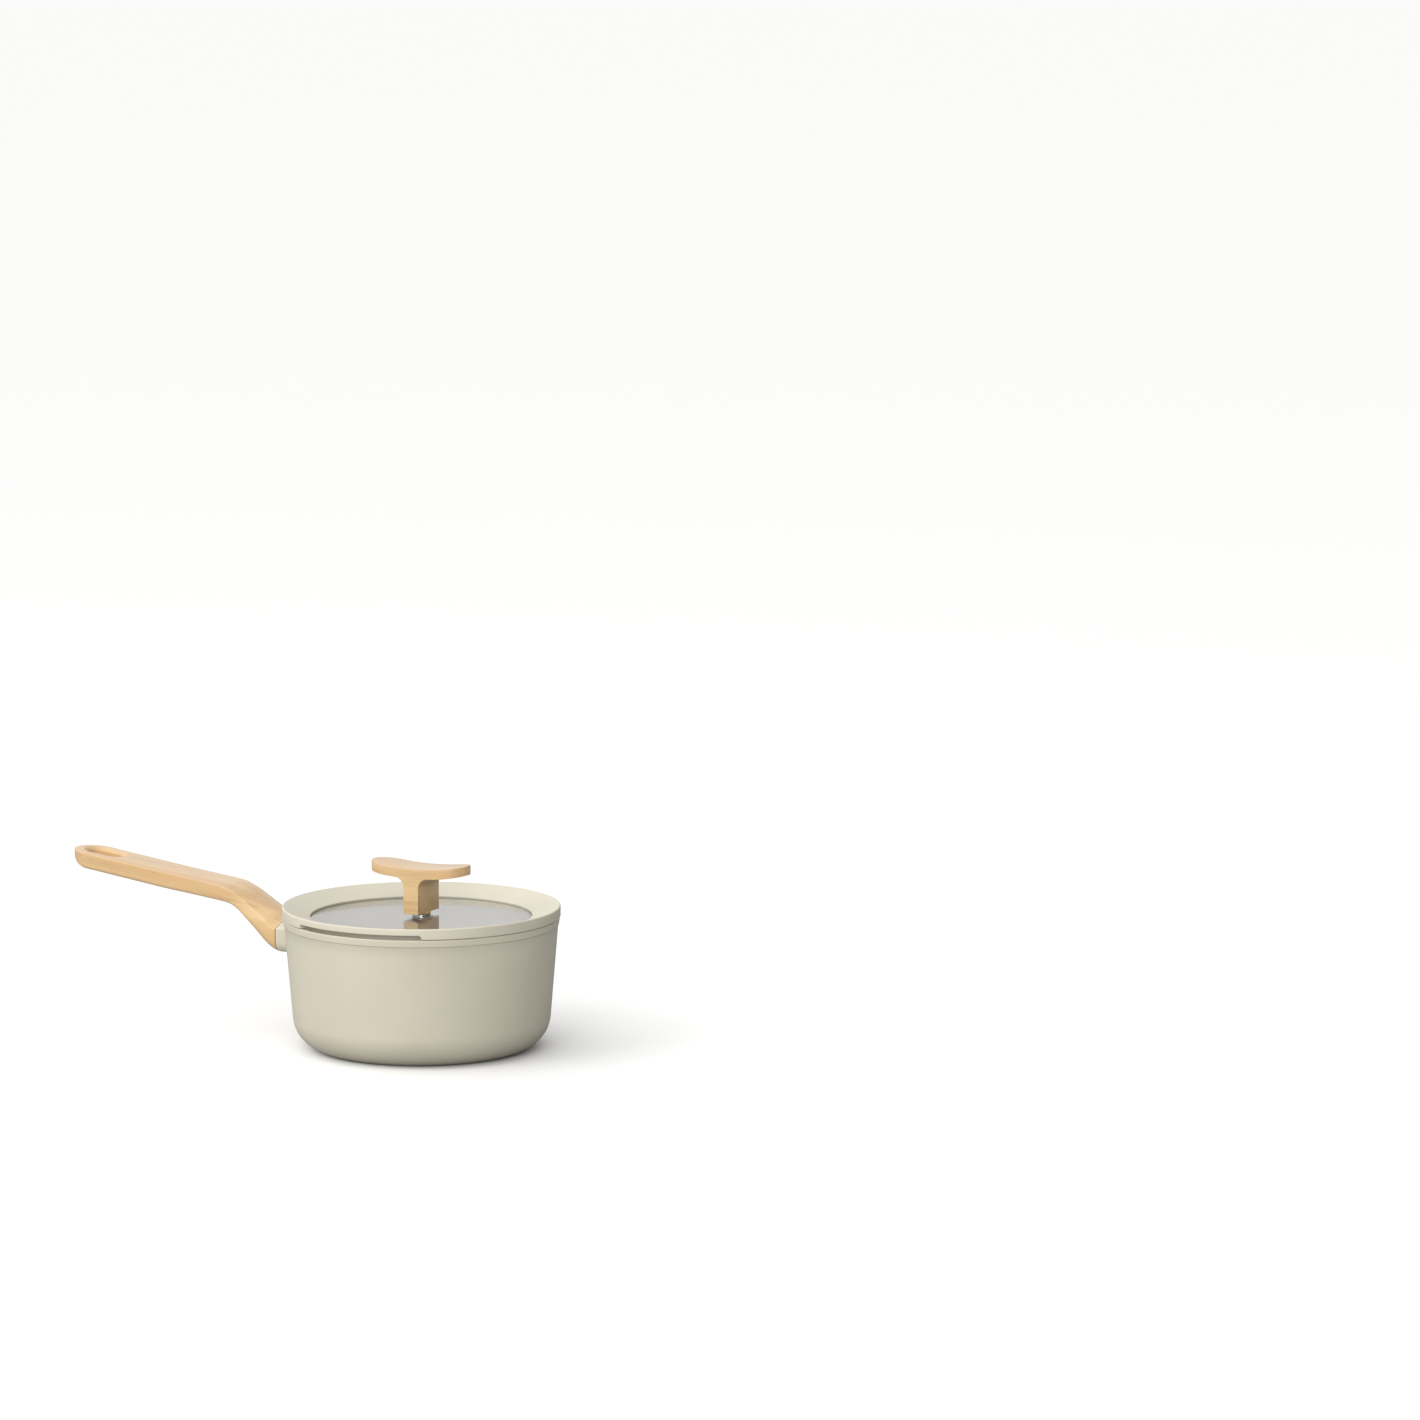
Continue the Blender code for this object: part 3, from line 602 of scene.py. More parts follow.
def rubber(name, low, high, roughness):
    mat, tree, shader = new_material(name, high, roughness)
    here = place(tree)
    tone = span(tree, noise(tree, here, 26.0, 3.0, 0.55), 0.35, 0.65, 0.0, 1.0)
    dust = span(tree, noise(tree, here, 2100.0, 1.0, 0.5), 0.68, 0.78, 0.0, 0.25)
    colour = blend_colours(tree, tone, low, high)
    link_colour(tree, shader, blend_colours(tree, dust, colour, tuple(0.88 * c for c in low)))
    link_roughness(
        tree,
        shader,
        span(tree, noise(tree, here, 300.0, 2.0, 0.5), 0.3, 0.7, roughness - 0.04, roughness + 0.05),
    )
    add_bump(tree, shader, noise(tree, here, 1300.0, 2.0, 0.5), 0.10, 0.05)
    return mat


cream_coat = sprayed_coating("cream_coat", CREAM_LOW, CREAM, 0.42, 1.3, 0.12)
interior_coat = ceramic_interior("interior_coat")
handle_wood_mat = wood("handle_wood_grain", -SLOT_TILT, (37.0, 11.0, 5.0))
knob_wood_mat = wood("knob_wood_grain", 0.0, (-210.0, 64.0, 83.0))
ring_silicone = rubber("ring_silicone", SILICONE_LOW, SILICONE, 0.50)
grey_silicone = rubber("grey_silicone_matte", tuple(0.9 * c for c in GREY_SILICONE), GREY_SILICONE, 0.6)
pane_glass = clear_glass("pane_glass")
bright_steel = turned_metal("bright_steel", STEEL, 0.22, 4.0, 0.25)
lying_steel = turned_metal("lying_steel", STEEL, 0.25, 4.0, 0.25, (0.0, 0.0, SCREW_Z), True)
base_steel = turned_metal("base_steel", BASE_STEEL, 0.34, 2.2, 0.5)
turned_brass = turned_metal("turned_brass", BRASS, 0.28, 4.0, 0.3)
cast_aluminium = cast_metal("cast_aluminium")


# ---------------------------------------------------------------- pan


def wall_r(z):
    return WALL_BASE_R + WALL_FLARE * z


def corner(offset, floor_z, steps):
    """Rounded corner between a floor and the flared wall, moved in by offset."""
    tilt = math.degrees(math.atan(WALL_FLARE))
    radius = CORNER_R - offset
    centre_z = floor_z + radius
    centre_r = wall_r(centre_z) - offset - radius / math.cos(math.radians(tilt))
    return arc((centre_r, centre_z), radius, -90, -tilt, steps)


def pan_shell():
    recess_r = PLATE_R + FIT
    recess_z = PLATE_TOP_Z + FIT
    under_edge = 0.4
    outside = [(0.0, recess_z), (recess_r - 0.2, recess_z), (recess_r, recess_z - 0.2)]
    outside += [(recess_r, UNDERSIDE_Z + under_edge)]
    outside += arc((recess_r + under_edge, UNDERSIDE_Z + under_edge), under_edge, 180, 270, 4)
    outer_corner = corner(0.0, 0.0, 40)
    outside += [p for p in outer_corner if p[1] > UNDERSIDE_Z + 0.05 and p[0] > recess_r + 0.5]
    wall_top = (wall_r(BAND_Z - 0.3), BAND_Z - 0.3)
    outside += between(outer_corner[-1], wall_top, 8)
    outside += [wall_top, (wall_r(BAND_Z) + 0.12, BAND_Z - 0.05), (wall_r(BAND_Z) + 0.4, BAND_Z)]
    outside += arc((BAND_LOW_R - 0.4, BAND_Z + 0.45), 0.45, -80, 0, 5)
    outside += between((BAND_LOW_R, BAND_Z + 0.45), (RIM_R, RIM_TOP_Z - RIM_EDGE_R), 3)
    outside += arc((RIM_R - RIM_EDGE_R, RIM_TOP_Z - RIM_EDGE_R), RIM_EDGE_R, 0, 90, 6)
    inside = arc((MOUTH_R + RIM_EDGE_R, RIM_TOP_Z - RIM_EDGE_R), RIM_EDGE_R, 90, 180, 6)
    inner_corner = corner(WALL_THICK, FLOOR_Z, 36)
    inner_top = (wall_r(BAND_Z) - WALL_THICK, BAND_Z)
    inside += [inner_top]
    inside += between(inner_top, inner_corner[-1], 8)
    inside += inner_corner[::-1]
    inside += [(52.0, FLOOR_Z), (34.0, FLOOR_Z), (16.0, FLOOR_Z), (0.0, FLOOR_Z)]
    pan = lathe("pan_shell", [(outside, 0), (inside, 1)], [cream_coat, interior_coat])
    return keep(pan, "pan", "cream_coating", "pan_body")


def base_disc():
    """Steel plate with a turned rebate and three shallow grooves in its face."""
    chamfer = 0.5
    groove_depth = 0.18
    profile = [(0.0, 0.0)]
    for r in (20.0, 40.0, 60.0):
        profile += [(r - 0.5, 0.0), (r - 0.25, groove_depth)]
        profile += [(r + 0.25, groove_depth), (r + 0.5, 0.0)]
    profile += [(PLATE_R - chamfer, 0.0), (PLATE_R - 0.15, 0.3), (PLATE_R, chamfer)]
    profile += [(PLATE_R, PLATE_TOP_Z - 0.2), (PLATE_R - 0.2, PLATE_TOP_Z), (0.0, PLATE_TOP_Z)]
    disc = lathe("base_disc", [(profile, 0)], [base_steel], sharp_deg=20.0)
    return keep(disc, "pan", "base_steel", "induction_base_plate")


def crowned_half(half_w, crown, edge):
    """Half of an arched top in (y, height above its side edge), from the middle outwards."""
    slope = 2.0 * crown / half_w
    turn = math.atan2(1.0, slope)
    meet_y = half_w - edge * (1.0 - math.cos(turn))
    points = []
    for k in range(CROWN_STEPS):
        y = meet_y * (k + 0.5) / (CROWN_STEPS + 0.5)
        points.append((y, crown * (1.0 - (y / half_w) ** 2)))
    meet_h = crown * (1.0 - (meet_y / half_w) ** 2)
    centre_h = meet_h - edge * math.sin(turn)
    points += arc((half_w - edge, centre_h), edge, math.degrees(turn), 0, 6)
    return points


def collar_outline():
    top = [(y, COLLAR_EDGE_Z + h) for y, h in crowned_half(COLLAR_HALF_W, COLLAR_CROWN, COLLAR_EDGE_R)]
    centre = (COLLAR_HALF_W - COLLAR_LOW_R, COLLAR_Z[0] + COLLAR_LOW_R)
    right = arc(centre, COLLAR_LOW_R, -90, 0, 12) + top[::-1]
    return right + [(-y, z) for y, z in reversed(right)]


def sunk_outline(outer):
    """Squared-off oval bore, with one point for each point of the outer outline."""
    mid_z = 0.5 * (BRACKET_Z[0] + BRACKET_Z[1])
    half_w = BRACKET_HALF_W + FIT
    half_h = 0.5 * (BRACKET_Z[1] - BRACKET_Z[0]) + FIT
    ring = []
    for y, z in outer:
        dy, dz = y / COLLAR_HALF_W, (z - mid_z) / (COLLAR_EDGE_Z - mid_z)
        power = (abs(dy) ** BORE_POWER + abs(dz) ** BORE_POWER) ** (1.0 / BORE_POWER)
        ring.append((half_w * dy / power, mid_z + half_h * dz / power))
    return ring


def collar():
    """Coated collar: a tube whose root follows the wall and whose mouth is rounded."""
    outer = collar_outline()
    inner = sunk_outline(outer)
    mid_z = 0.5 * (COLLAR_Z[0] + COLLAR_Z[1])

    def root(outline, lift):
        ring = []
        for y, z in outline:
            s = math.sqrt((wall_r(z) + COLLAR_WALL_GAP) ** 2 - y * y) + lift
            ring.append((-s, y, z))
        return ring

    def at(outline, s, inset):
        ring = []
        for y, z in outline:
            ring.append((-s, y * (1.0 - inset / COLLAR_HALF_W), z + (mid_z - z) * inset / COLLAR_MOUTH_EASE))
        return ring

    edge = COLLAR_MOUTH_R
    rings = [root(outer, 0.0)] + [root(outer, lift) for lift in COLLAR_ROOT_LIFTS]
    for k in range(1, 4):
        s_fraction = k / 4.0
        start = root(outer, COLLAR_ROOT_LIFTS[1])
        end = at(outer, COLLAR_TIP_S - edge, 0.0)
        rings.append([
            tuple(p + (q - p) * s_fraction for p, q in zip(a, b)) for a, b in zip(start, end)
        ])
    for k in range(5):
        a = 0.5 * math.pi * k / 4
        rings.append(
            at(outer, COLLAR_TIP_S - edge + edge * math.sin(a), edge * (1.0 - math.cos(a)))
        )
    rings.append([(-COLLAR_TIP_S, y, z) for y, z in inner])
    rings.append(root(inner, 0.0))
    count = len(outer)
    verts = [p for ring in rings for p in ring]
    faces = []
    for i in range(len(rings)):
        j = (i + 1) % len(rings)
        for k in range(count):
            n = (k + 1) % count
            faces.append([i * count + k, i * count + n, j * count + n, j * count + k])
    tube = make_object("handle_collar", verts, faces, [cream_coat])
    return keep(tube, "pan", "cream_coating", "handle_ferrule")


# ---------------------------------------------------------------- handle


def smoothstep(t):
    t = min(max(t, 0.0), 1.0)
    return t * t * (3.0 - 2.0 * t)


def fade(pair, s, span):
    """Move smoothly from the first value to the second as s crosses the span."""
    return pair[0] + (pair[1] - pair[0]) * smoothstep((s - span[0]) / (span[1] - span[0]))


def handle_section(top, low, half_w, edge, crown, low_round):
    """Closed ring across the handle between its side edge and its bottom."""
    top = Vector((-top[0], 0.0, top[1]))
    low = Vector((-low[0], 0.0, low[1]))
    depth = (low - top).length
    low_round = min(low_round, MOST_OF_DEPTH * depth, MOST_OF_WIDTH * half_w)
    edge = min(edge, MOST_OF_DEPTH * depth, MOST_OF_WIDTH * half_w)
    half = [(y, -h) for y, h in crowned_half(half_w, crown, edge)]
    half += arc((half_w - low_round, depth - low_round), low_round, 0, 90, 10)
    half += [(0.9 * (half_w - low_round), depth), (0.35 * (half_w - low_round), depth)]
    ring = half + [(-y, t) for y, t in reversed(half)]
    down = (low - top) / depth
    return [tuple(top + down * t + Vector((0.0, y, 0.0))) for y, t in ring]


def catmull(points, i, t):
    p0, p1, p2 = points[max(i - 1, 0)], points[i], points[i + 1]
    p3 = points[min(i + 2, len(points) - 1)]
    out = []
    for a, b, c, d in zip(p0, p1, p2, p3):
        quad = 2.0 * a - 5.0 * b + 4.0 * c - d
        cubic = 3.0 * b - a - 3.0 * c + d
        out.append(0.5 * (2.0 * b + (c - a) * t + quad * t * t + cubic * t * t * t))
    return tuple(out)


def handle_rings():
    tops = [pair[0] for pair in HANDLE_SECTIONS]
    lows = [pair[1] for pair in HANDLE_SECTIONS]
    rings = []
    for i in range(len(tops) - 1):
        for k in range(HANDLE_STEPS):
            top = catmull(tops, i, k / HANDLE_STEPS)
            low = catmull(lows, i, k / HANDLE_STEPS)
            mid_s = 0.5 * (top[0] + low[0])
            half_w = fade(HALF_W, mid_s, FLARE_S)
            crown = fade(CROWN, mid_s, CROWN_S)
            low_round = fade(LOW_ROUND, mid_s, LOW_ROUND_S)
            rings.append(handle_section(top, low, half_w, TOP_EDGE_R, crown, low_round))
    start_top, start_low = tops[-1], lows[-1]
    for k in range(TIP_STEPS + 1):
        a = TIP_LAST_ANGLE * k / TIP_STEPS
        along = math.sin(a)
        s = start_top[0] + (TIP_S - start_top[0]) * along
        top_z = start_top[1] + (TIP_TOP_Z - start_top[1]) * along
        undercut = (1.0 - math.cos(a)) ** UNDERCUT_POWER
        low_z = start_low[1] + (TIP_LOW_Z - start_low[1]) * undercut
        taper = math.cos(a)
        half_w = HALF_W[1] * taper
        edge = TOP_EDGE_R * taper
        crown = CROWN[1] * taper
        rings.append(handle_section((s, top_z), (s, low_z), half_w, edge, crown, LOW_ROUND[1]))
    return rings


def slot_cutter():
    """Stadium hole with a rounded, dished mouth on top and a small flare below."""
    mid_z = 0.5 * (SLOT_Z[0] + SLOT_Z[1])
    half_h = 0.5 * (SLOT_Z[1] - SLOT_Z[0])
    levels = [(-half_h - 1.0, SLOT_LOW_FLARE + 1.0), (SLOT_LOW_FLARE - half_h, 0.0)]
    fillet = 0.5
    levels.append((half_h - SLOT_DEPTH - fillet, 0.0))
    slope = SLOT_FLARE / SLOT_DEPTH
    for k in range(1, 5):
        t = k / 4.0
        levels.append((half_h - SLOT_DEPTH - fillet + 2.0 * fillet * t, slope * fillet * t * t))
    levels.append((half_h - 0.25, slope * (SLOT_DEPTH - 0.25)))
    levels.append((half_h, SLOT_FLARE + 0.15))
    levels.append((half_h + 0.25, SLOT_FLARE + 1.2))
    levels.append((half_h + 1.2, SLOT_FLARE + 3.5))
    rings = []
    for height, grow in levels:
        ring = []
        for x, y in stadium(SLOT_HALF_L + grow, SLOT_HALF_W + grow, 28):
            along = x * math.cos(SLOT_TILT) - height * math.sin(SLOT_TILT)
            up = x * math.sin(SLOT_TILT) + height * math.cos(SLOT_TILT)
            ring.append((-SLOT_S - along, y, mid_z + up))
        rings.append(ring)
    return loft("cut_slot", rings, [handle_wood_mat])


def handle():
    grip = loft("handle_wood", handle_rings(), [handle_wood_mat], 22.0)
    bore = ((100.0, SCREW_BORE_R), (SEAT_S, SCREW_BORE_R), (SEAT_S, COUNTERBORE_R))
    bore += ((128.0, COUNTERBORE_R),)
    tools = [
        boolean(grip, slot_cutter(), "DIFFERENCE"),
        boolean(grip, loft("cut_bore", lying(bore), [handle_wood_mat]), "DIFFERENCE"),
    ]
    settle(grip, tools, 24.0)
    return keep(grip, "pan", "light_wood", "handle_grip")


# ---------------------------------------------------------------- lid


def glass_top(r):
    return GLASS_CROWN_Z - GLASS_SAG * (r / RING_INNER_R) ** 2


def strainer_cutter(name, centre_angle):
    """Curved bar whose upper corners are rounded, cut through the ring's outer wall."""
    steps = 96
    rings = []
    for k in range(steps + 1):
        t = -1.0 + 2.0 * k / steps
        t = math.copysign(1.0 - (1.0 - abs(t)) ** 1.6, t)
        a = centre_angle + STRAINER_HALF_ANGLE * t
        end_gap = (1.0 - abs(t)) * STRAINER_HALF_ANGLE * RING_R
        inset = max(STRAINER_CORNER_R - end_gap, 0.0)
        drop = STRAINER_CORNER_R - math.sqrt(max(STRAINER_CORNER_R**2 - inset**2, 0.0))
        top_z = STRAINER_TOP_Z - drop
        ring = []
        for r, z in (
            (STRAINER_INNER_R, RING_LIP_LOW_Z - 1.0),
            (RING_R + 1.0, RING_LIP_LOW_Z - 1.0),
            (RING_R + 1.0, top_z),
            (STRAINER_INNER_R, top_z),
        ):
            ring.append((r * math.cos(a), r * math.sin(a), z))
        rings.append(ring)
    return loft(name, rings, [ring_silicone])


def lid_ring():
    seat = 0.1
    lip_edge = 0.6
    groove_low = glass_top(RING_GROOVE_R) - GLASS_THICK - seat
    profile = arc((RING_LIP_R - 1.0, RING_LIP_LOW_Z + 1.0), 1.0, -90, 0, 5)
    profile += [(RING_LIP_R, RING_LOW_Z - 0.3), (RING_LIP_R + 0.3, RING_LOW_Z)]
    profile += arc((RING_R - 0.6, RING_LOW_Z + 0.6), 0.6, -90, 0, 6)
    profile += arc((RING_R - RING_EDGE_R, RING_TOP_Z - RING_EDGE_R), RING_EDGE_R, 0, 110, 12)
    cone_top = profile[-1]
    cone_low = (RING_INNER_R + lip_edge * 0.66, RING_INNER_TOP_Z + 0.12)
    profile += between(cone_top, cone_low, 8)
    profile += arc((RING_INNER_R + lip_edge, RING_INNER_TOP_Z - 0.45), lip_edge, 110, 180, 6)
    profile += [
        (RING_INNER_R, glass_top(RING_INNER_R) + seat),
        (RING_GROOVE_R, glass_top(RING_GROOVE_R) + seat),
        (RING_GROOVE_R, groove_low),
        (RING_LOWER_LIP_R + 0.4, groove_low),
    ]
    profile += arc((RING_LOWER_LIP_R + 0.5, RING_LIP_LOW_Z + 0.5), 0.5, 180, 270, 4)
    profile += [
        (RING_CHANNEL_R[0] - 0.3, RING_LIP_LOW_Z),
        (RING_CHANNEL_R[0] + 0.2, RING_LIP_LOW_Z + 0.3),
        (RING_CHANNEL_R[1], RING_LIP_LOW_Z + RING_CHANNEL_DEPTH),
        (RING_CHANNEL_R[2], RING_LIP_LOW_Z + RING_CHANNEL_DEPTH),
        (RING_CHANNEL_R[3] - 0.1, RING_LIP_LOW_Z + 0.3),
        (RING_CHANNEL_R[3] + 0.3, RING_LIP_LOW_Z),
    ]
    ring = lathe("lid_ring", [(profile, 0)], [ring_silicone])
    tools = [
        boolean(ring, strainer_cutter("cut_front", -0.5 * math.pi), "DIFFERENCE"),
        boolean(ring, strainer_cutter("cut_back", 0.5 * math.pi), "DIFFERENCE"),
    ]
    settle(ring, tools, 30.0)
    return keep(ring, "lid", "cream_silicone", "lid_rim_ring")


def lid_pane():
    steps = 18
    polish = 0.7
    radii = []
    for k in range(steps + 1):
        radii.append(GLASS_HOLE_R + 0.4 + (GLASS_R - polish - GLASS_HOLE_R - 0.4) * k / steps)
    top = [(r, glass_top(r)) for r in radii]
    low = [(r, glass_top(r) - GLASS_THICK) for r in radii]
    rim_z = glass_top(GLASS_R)
    edge = arc((GLASS_R - polish, rim_z - polish), polish, 60, 0, 4)
    edge += arc((GLASS_R - polish, rim_z - GLASS_THICK + polish), polish, 0, -60, 4)
    hole = [
        (GLASS_HOLE_R, low[0][1] + 0.4),
        (GLASS_HOLE_R, top[0][1] - 0.4),
    ]
    pane = lathe("lid_pane", [(top + edge + low[::-1] + hole, 0)], [pane_glass], sharp_deg=40.0)
    return keep(pane, "lid", "tempered_glass", "lid_glass")


def knob_top_z(x):
    return KNOB_MID_TOP_Z + KNOB_END_RISE * (x / KNOB_HALF_L) ** 2


def knob_outline():
    """T outline in (x, z), anticlockwise from the stem's bottom right corner."""
    steps = 28
    under_z = knob_top_z(KNOB_STEM_HALF + KNOB_FILLET) - KNOB_BAR_THICK
    right = [(KNOB_STEM_HALF, KNOB_BOTTOM_Z)]
    centre = (KNOB_STEM_HALF + KNOB_FILLET, under_z - KNOB_FILLET)
    right += arc(centre, KNOB_FILLET, 180, 94, 16)
    end_x = KNOB_HALF_L + 1.0
    first_x = KNOB_STEM_HALF + KNOB_FILLET + 1.0
    for k in range(steps):
        x = first_x + (end_x - first_x) * k / (steps - 1)
        right.append((x, knob_top_z(x) - KNOB_BAR_THICK))
    for k in range(steps):
        x = end_x * (1.0 - k / steps)
        right.append((x, knob_top_z(x)))
    left = [(-x, z) for x, z in reversed(right)]
    return right + [(0.0, KNOB_MID_TOP_Z)] + left


def knob():
    outline = knob_outline()
    wide = KNOB_HALF_W + 1.0
    rings = [[(x, y, z) for x, z in outline] for y in (-wide, wide)]
    bar = loft("knob_wood", rings, [knob_wood_mat], 25.0)
    plan = stadium(KNOB_HALF_L, KNOB_HALF_W, 40)
    plan_rings = [[(x, y, z) for x, y in plan] for z in (KNOB_BOTTOM_Z - 5.0, 130.0)]
    settle(bar, [boolean(bar, loft("cut_plan", plan_rings, [knob_wood_mat]), "INTERSECT")], 25.0)
    soften(bar, KNOB_EDGE_R, 4, 50.0)
    settle(bar, (), 25.0)
    boss_top = KNOB_BOTTOM_Z + FIT
    boss = [(0.0, KNOB_BOSS_Z), (KNOB_BOSS_R - 0.3, KNOB_BOSS_Z), (KNOB_BOSS_R, KNOB_BOSS_Z + 0.3)]
    boss += [(KNOB_BOSS_R, boss_top), (0.0, boss_top)]
    hole = [(0.0, KNOB_BOSS_Z - 1.0), (KNOB_BORE_R, KNOB_BOSS_Z - 1.0)]
    hole += [(KNOB_BORE_R, KNOB_BORE_TOP_Z), (0.0, KNOB_BORE_TOP_Z)]
    mats = [knob_wood_mat]
    tools = [
        boolean(bar, lathe("add_boss", [(boss, 0)], mats, SMALL_SEGMENTS), "UNION"),
        boolean(bar, lathe("cut_hole", [(hole, 0)], mats, SMALL_SEGMENTS), "DIFFERENCE"),
    ]
    settle(bar, tools, 25.0)
    return keep(bar, "lid", "light_wood", "lid_knob")


# ---------------------------------------------------------------- fixings


def washer(name, bore_r, outer_r, z_low, z_high, mat, slot, node_name):
    """Stamped washer with rounded edges, turned about Z."""
    edge = 0.3 * (z_high - z_low)
    profile = [(bore_r, z_high - edge), (bore_r, z_low + edge), (bore_r + edge, z_low)]
    profile += arc((outer_r - edge, z_low + edge), edge, -90, 0, 3)
    profile += arc((outer_r - edge, z_high - edge), edge, 0, 90, 3)
    profile += [(bore_r + edge, z_high)]
    ring = lathe(name, [(profile, 0)], [mat], SMALL_SEGMENTS, 35.0)
    return keep(ring, "lid", slot, node_name)


def knob_fixings():
    low, high = reach("knob_top_washer", 2)
    washer(
        "knob_washer_top", 2.4, reach("knob_top_washer", 0)[1], low, high,
        bright_steel, "stainless_steel", "knob_top_washer",
    )
    low, high = reach("knob_bottom_washer", 2)
    washer(
        "knob_washer_low", 2.4, reach("knob_bottom_washer", 0)[1], low, high,
        bright_steel, "stainless_steel", "knob_bottom_washer",
    )
    low, high = reach("knob_insert", 2)
    outer = reach("knob_insert", 0)[1]
    profile = [(2.3, high - 0.3), (2.3, low + 0.4), (2.7, low)]
    grooves = 7
    for k in range(grooves):
        z = low + (high - low) * (k + 0.5) / grooves
        profile += [(outer, z - 0.5), (outer - 0.35, z - 0.25), (outer - 0.35, z + 0.25)]
        profile += [(outer, z + 0.5)]
    profile += [(2.6, high)]
    insert = lathe("brass_insert", [(profile, 0)], [turned_brass], SMALL_SEGMENTS, 35.0)
    keep(insert, "lid", "brass", "knob_insert")
    low, top = reach("knob_grommet", 2)
    flange_r = reach("knob_grommet", 0)[1]
    flange_z = low + 1.1
    profile = [(2.4, top - 0.2), (2.4, low + 0.2), (2.6, low)]
    profile += arc((flange_r - 0.5, low + 0.5), 0.5, -90, 90, 8)
    profile += [(5.0, flange_z), (4.7, flange_z + 0.3), (4.7, top - 0.3), (4.4, top), (2.6, top)]
    grommet = lathe("knob_grommet_soft", [(profile, 0)], [grey_silicone], SMALL_SEGMENTS, 35.0)
    keep(grommet, "lid", "grey_silicone", "knob_grommet")


def cross_cutter(name, centre, inward, side, width, depth, reach_r, mat):
    """Tapered cross recess: two crossed wedges that narrow inward from a screw's face."""
    inward = Vector(inward)
    side = Vector(side)
    other = inward.cross(side)
    made = []
    for k, (a, b) in enumerate(((side, other), (other, side))):
        rings = []
        for t, half in ((-0.6, reach_r + 0.25), (0.0, reach_r), (depth, 0.35 * reach_r)):
            middle = Vector(centre) + inward * t
            ring = []
            for u, v in ((-1, -1), (1, -1), (1, 1), (-1, 1)):
                ring.append(tuple(middle + a * u * half + b * v * 0.5 * width))
            rings.append(ring)
        made.append(loft(f"{name}_{k}", rings, [mat]))
    return made


def lid_screw():
    low, high = reach("knob_screw", 2)
    head_r = reach("knob_screw", 0)[1]
    head_top = low + 2.6
    shank = 2.0
    profile = [(0.0, low), (1.2, low + 0.02), (2.4, low + 0.14), (3.3, low + 0.38)]
    profile += [(3.9, low + 0.72), (head_r - 0.12, low + 1.15), (head_r, low + 1.6)]
    profile += [(head_r, head_top - 0.15), (head_r - 0.15, head_top), (shank, head_top)]
    pitch = 0.7
    z = head_top + 3.0
    while z < high - 1.2:
        profile += [(shank, z), (shank - 0.3, z + 0.5 * pitch)]
        z += pitch
    profile += [(shank, high - 0.6), (shank - 0.5, high), (0.0, high)]
    screw = lathe("lid_screw_fine", [(profile, 0)], [bright_steel], SMALL_SEGMENTS, 40.0)
    tools = cross_cutter(
        "cut_lid_cross", (0.0, 0.0, low), (0.0, 0.0, 1.0), (1.0, 0.0, 0.0), 0.9, 1.7, 2.2,
        bright_steel,
    )
    for tool in tools:
        boolean(screw, tool, "DIFFERENCE")
    settle(screw, tools, 35.0)
    return keep(screw, "lid", "stainless_steel", "knob_screw")


def handle_fixings():
    far, near = (-v for v in reach("handle_screw", 0))
    head_r = reach("handle_screw", 1)[1]
    head_s = far - 2.6
    shank = 2.0
    steps = [(near, shank - 0.5), (near + 0.6, shank)]
    s = near + 1.0
    while s < head_s - 2.0:
        steps += [(s, shank), (s + 0.35, shank - 0.3)]
        s += 0.7
    steps += [(head_s - 1.2, shank), (head_s, shank), (head_s + 0.01, head_r - 0.15)]
    steps += [(head_s + 0.15, head_r), (head_s + 1.1, head_r), (head_s + 1.7, head_r - 0.25)]
    steps += [(head_s + 2.2, head_r - 0.9), (head_s + 2.5, head_r - 2.0), (far, 0.4)]
    screw = loft("handle_screw_fine", lying(steps), [lying_steel], 40.0)
    tools = cross_cutter(
        "cut_handle_cross", (-far, 0.0, SCREW_Z), (1.0, 0.0, 0.0), (0.0, 1.0, 0.0), 0.8, 1.6, 1.8,
        lying_steel,
    )
    for tool in tools:
        boolean(screw, tool, "DIFFERENCE")
    settle(screw, tools, 35.0)
    keep(screw, "pan", "stainless_steel", "handle_screw")

    far, near = (-v for v in reach("handle_washer", 0))
    outer = reach("handle_washer", 1)[1]
    edge = 0.25
    rings = lying((
        (near + edge, SCREW_BORE_R), (near, SCREW_BORE_R + edge), (near, outer - edge),
        (near + edge, outer), (far - edge, outer), (far, outer - edge),
        (far, SCREW_BORE_R + edge), (far - edge, SCREW_BORE_R),
    ))
    count = SMALL_SEGMENTS
    verts = [p for ring in rings for p in ring]
    faces = []
    for i in range(len(rings)):
        j = (i + 1) % len(rings)
        for k in range(count):
            n = (k + 1) % count
            faces.append([i * count + k, i * count + n, j * count + n, j * count + k])
    ring = make_object("handle_washer_fine", verts, faces, [lying_steel])
    keep(ring, "pan", "stainless_steel", "handle_washer")


pan_shell()
base_disc()
collar()
handle()
handle_fixings()
lid_ring()
lid_pane()
knob()
knob_fixings()
lid_screw()

bracket = frame["nodes"]["handle_bracket"]
bracket.data.materials.clear()
bracket.data.materials.append(cast_aluminium)


# ---------------------------------------------------------------- studio


def floor():
    mat, tree, shader = new_material("floor_paper", (0.97, 0.97, 0.97), 1.0, Specular_IOR_Level=0.0)
    rays = node(tree, "ShaderNodeLightPath")
    seen = rays.outputs["Is Camera Ray"]
    link_colour(tree, shader, blend_colours(tree, seen, FLOOR_BOUNCE, FLOOR_SEEN))
    mesh = bpy.data.meshes.new("studio_floor")
    half = 40.0
    corners = [(-half, -half, 0.0), (half, -half, 0.0), (half, half, 0.0), (-half, half, 0.0)]
    mesh.from_pydata(corners, [], [(0, 1, 2, 3)])
    mesh.materials.append(mat)
    obj = bpy.data.objects.new("studio_floor", mesh)
    bpy.context.scene.collection.objects.link(obj)


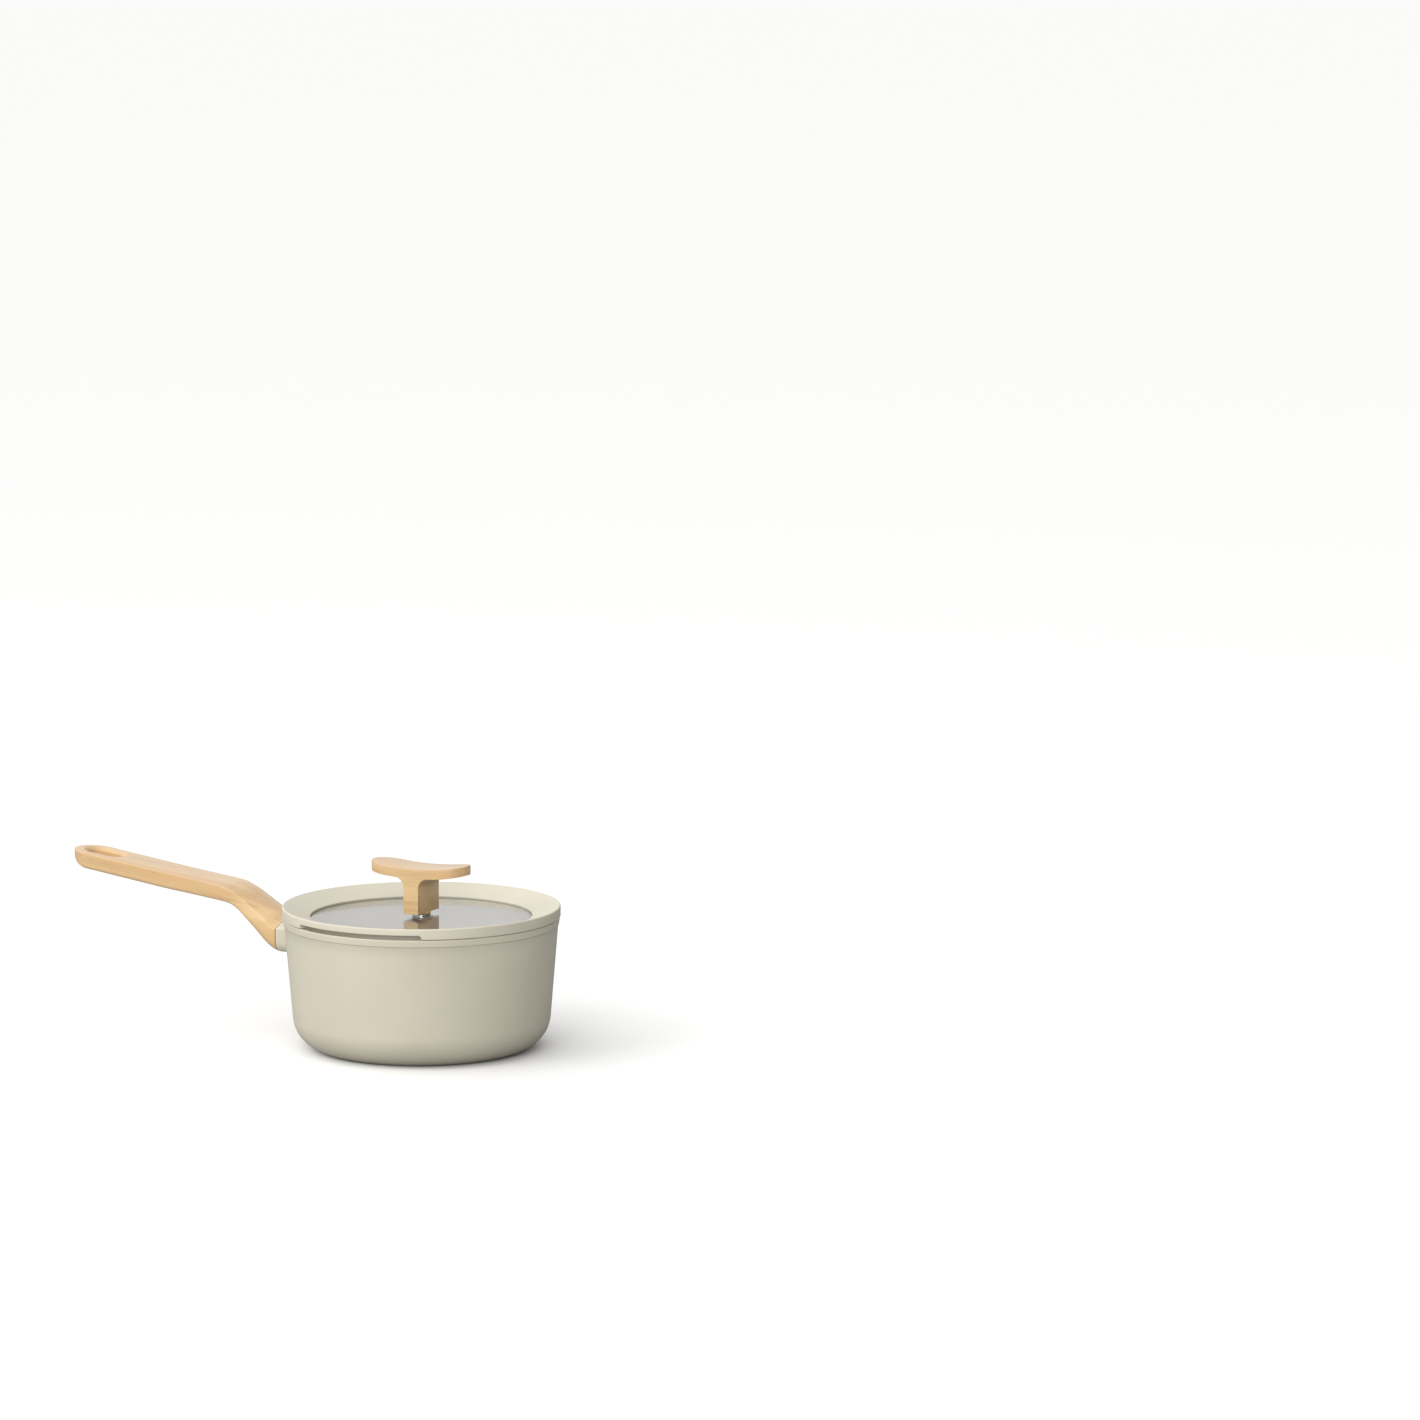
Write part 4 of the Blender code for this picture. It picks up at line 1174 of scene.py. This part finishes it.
def aim(obj, target):
    forward = Vector(target) - obj.location
    obj.rotation_euler = forward.to_track_quat("-Z", "Y").to_euler()


def softbox(name, place_at, size, power, colour=(1.0, 1.0, 1.0)):
    light = bpy.data.lights.new(name, "AREA")
    light.shape = "RECTANGLE"
    light.size, light.size_y = size
    light.energy = power
    light.color = colour
    obj = bpy.data.objects.new(name, light)
    obj.location = place_at
    obj.visible_camera = False
    bpy.context.scene.collection.objects.link(obj)
    aim(obj, (0.0, 0.0, 0.06))


def camera():
    back = Vector((
        math.sin(AZIMUTH) * math.cos(ELEVATION),
        -math.cos(AZIMUTH) * math.cos(ELEVATION),
        math.sin(ELEVATION),
    ))
    right = Vector((math.cos(AZIMUTH), math.sin(AZIMUTH), 0.0))
    up = back.cross(right)
    target = Vector((0.0, 0.0, AIM_Z * MM))
    data = bpy.data.cameras.new("camera")
    data.sensor_width = SENSOR_MM
    data.lens = SENSOR_MM * DISTANCE / VIEW_WIDTH
    data.clip_end = 200.0
    obj = bpy.data.objects.new("camera", data)
    obj.location = target + back * DISTANCE
    bpy.context.scene.collection.objects.link(obj)
    aim(obj, target + right * AIM_RIGHT + up * AIM_UP)
    bpy.context.scene.camera = obj


def world():
    """Studio sky: bright overhead, brighter to the left front and dark to the right."""
    made = bpy.data.worlds.new("studio")
    made.use_nodes = True
    tree = made.node_tree
    background = tree.nodes["Background"]
    direction = node(tree, "ShaderNodeTexCoord").outputs["Generated"]
    height = node(
        tree, "ShaderNodeVectorMath", {0: direction, 1: (0.0, 0.0, 1.0)}, operation="DOT_PRODUCT"
    ).outputs["Value"]
    towards_key = (0.9 * LEFT + 0.3 * FRONT).normalized()
    side = node(
        tree, "ShaderNodeVectorMath", {0: direction, 1: tuple(towards_key)},
        operation="DOT_PRODUCT",
    ).outputs["Value"]
    light = math_node(tree, "MULTIPLY_ADD", height, SKY_OVERHEAD)
    light.node.inputs[2].default_value = SKY_HORIZON
    light = math_node(tree, "ADD", light, math_node(tree, "MULTIPLY", side, SKY_SIDE))
    behind = node(
        tree, "ShaderNodeVectorMath", {0: direction, 1: tuple(-FRONT)}, operation="DOT_PRODUCT"
    ).outputs["Value"]
    behind = math_node(tree, "POWER", math_node(tree, "MAXIMUM", behind, 0.0), 2.0)
    light = math_node(tree, "ADD", light, math_node(tree, "MULTIPLY", behind, SKY_BACK))
    light = math_node(tree, "MAXIMUM", light, 0.02)
    tree.links.new(light, background.inputs["Strength"])
    background.inputs["Color"].default_value = (1.0, 0.997, 0.99, 1.0)
    bpy.context.scene.world = made


LEFT = Vector((-math.cos(AZIMUTH), -math.sin(AZIMUTH), 0.0))
FRONT = Vector((math.sin(AZIMUTH), -math.cos(AZIMUTH), 0.0))
UP = Vector((0.0, 0.0, 1.0))
SKY_OVERHEAD = 0.72
SKY_HORIZON = 0.42
SKY_SIDE = 0.70
SKY_BACK = 0.55
FLOOR_SEEN = (0.99, 0.99, 0.99)
FLOOR_BOUNCE = (0.38, 0.38, 0.38)

floor()
softbox("key", 1.9 * LEFT + 1.0 * FRONT + 1.6 * UP, (1.4, 1.4), 11.0)
softbox("front", 0.3 * LEFT + 2.6 * FRONT + 0.9 * UP, (1.8, 1.2), 25.0)
camera()
world()
bpy.context.scene.view_settings.view_transform = "Standard"
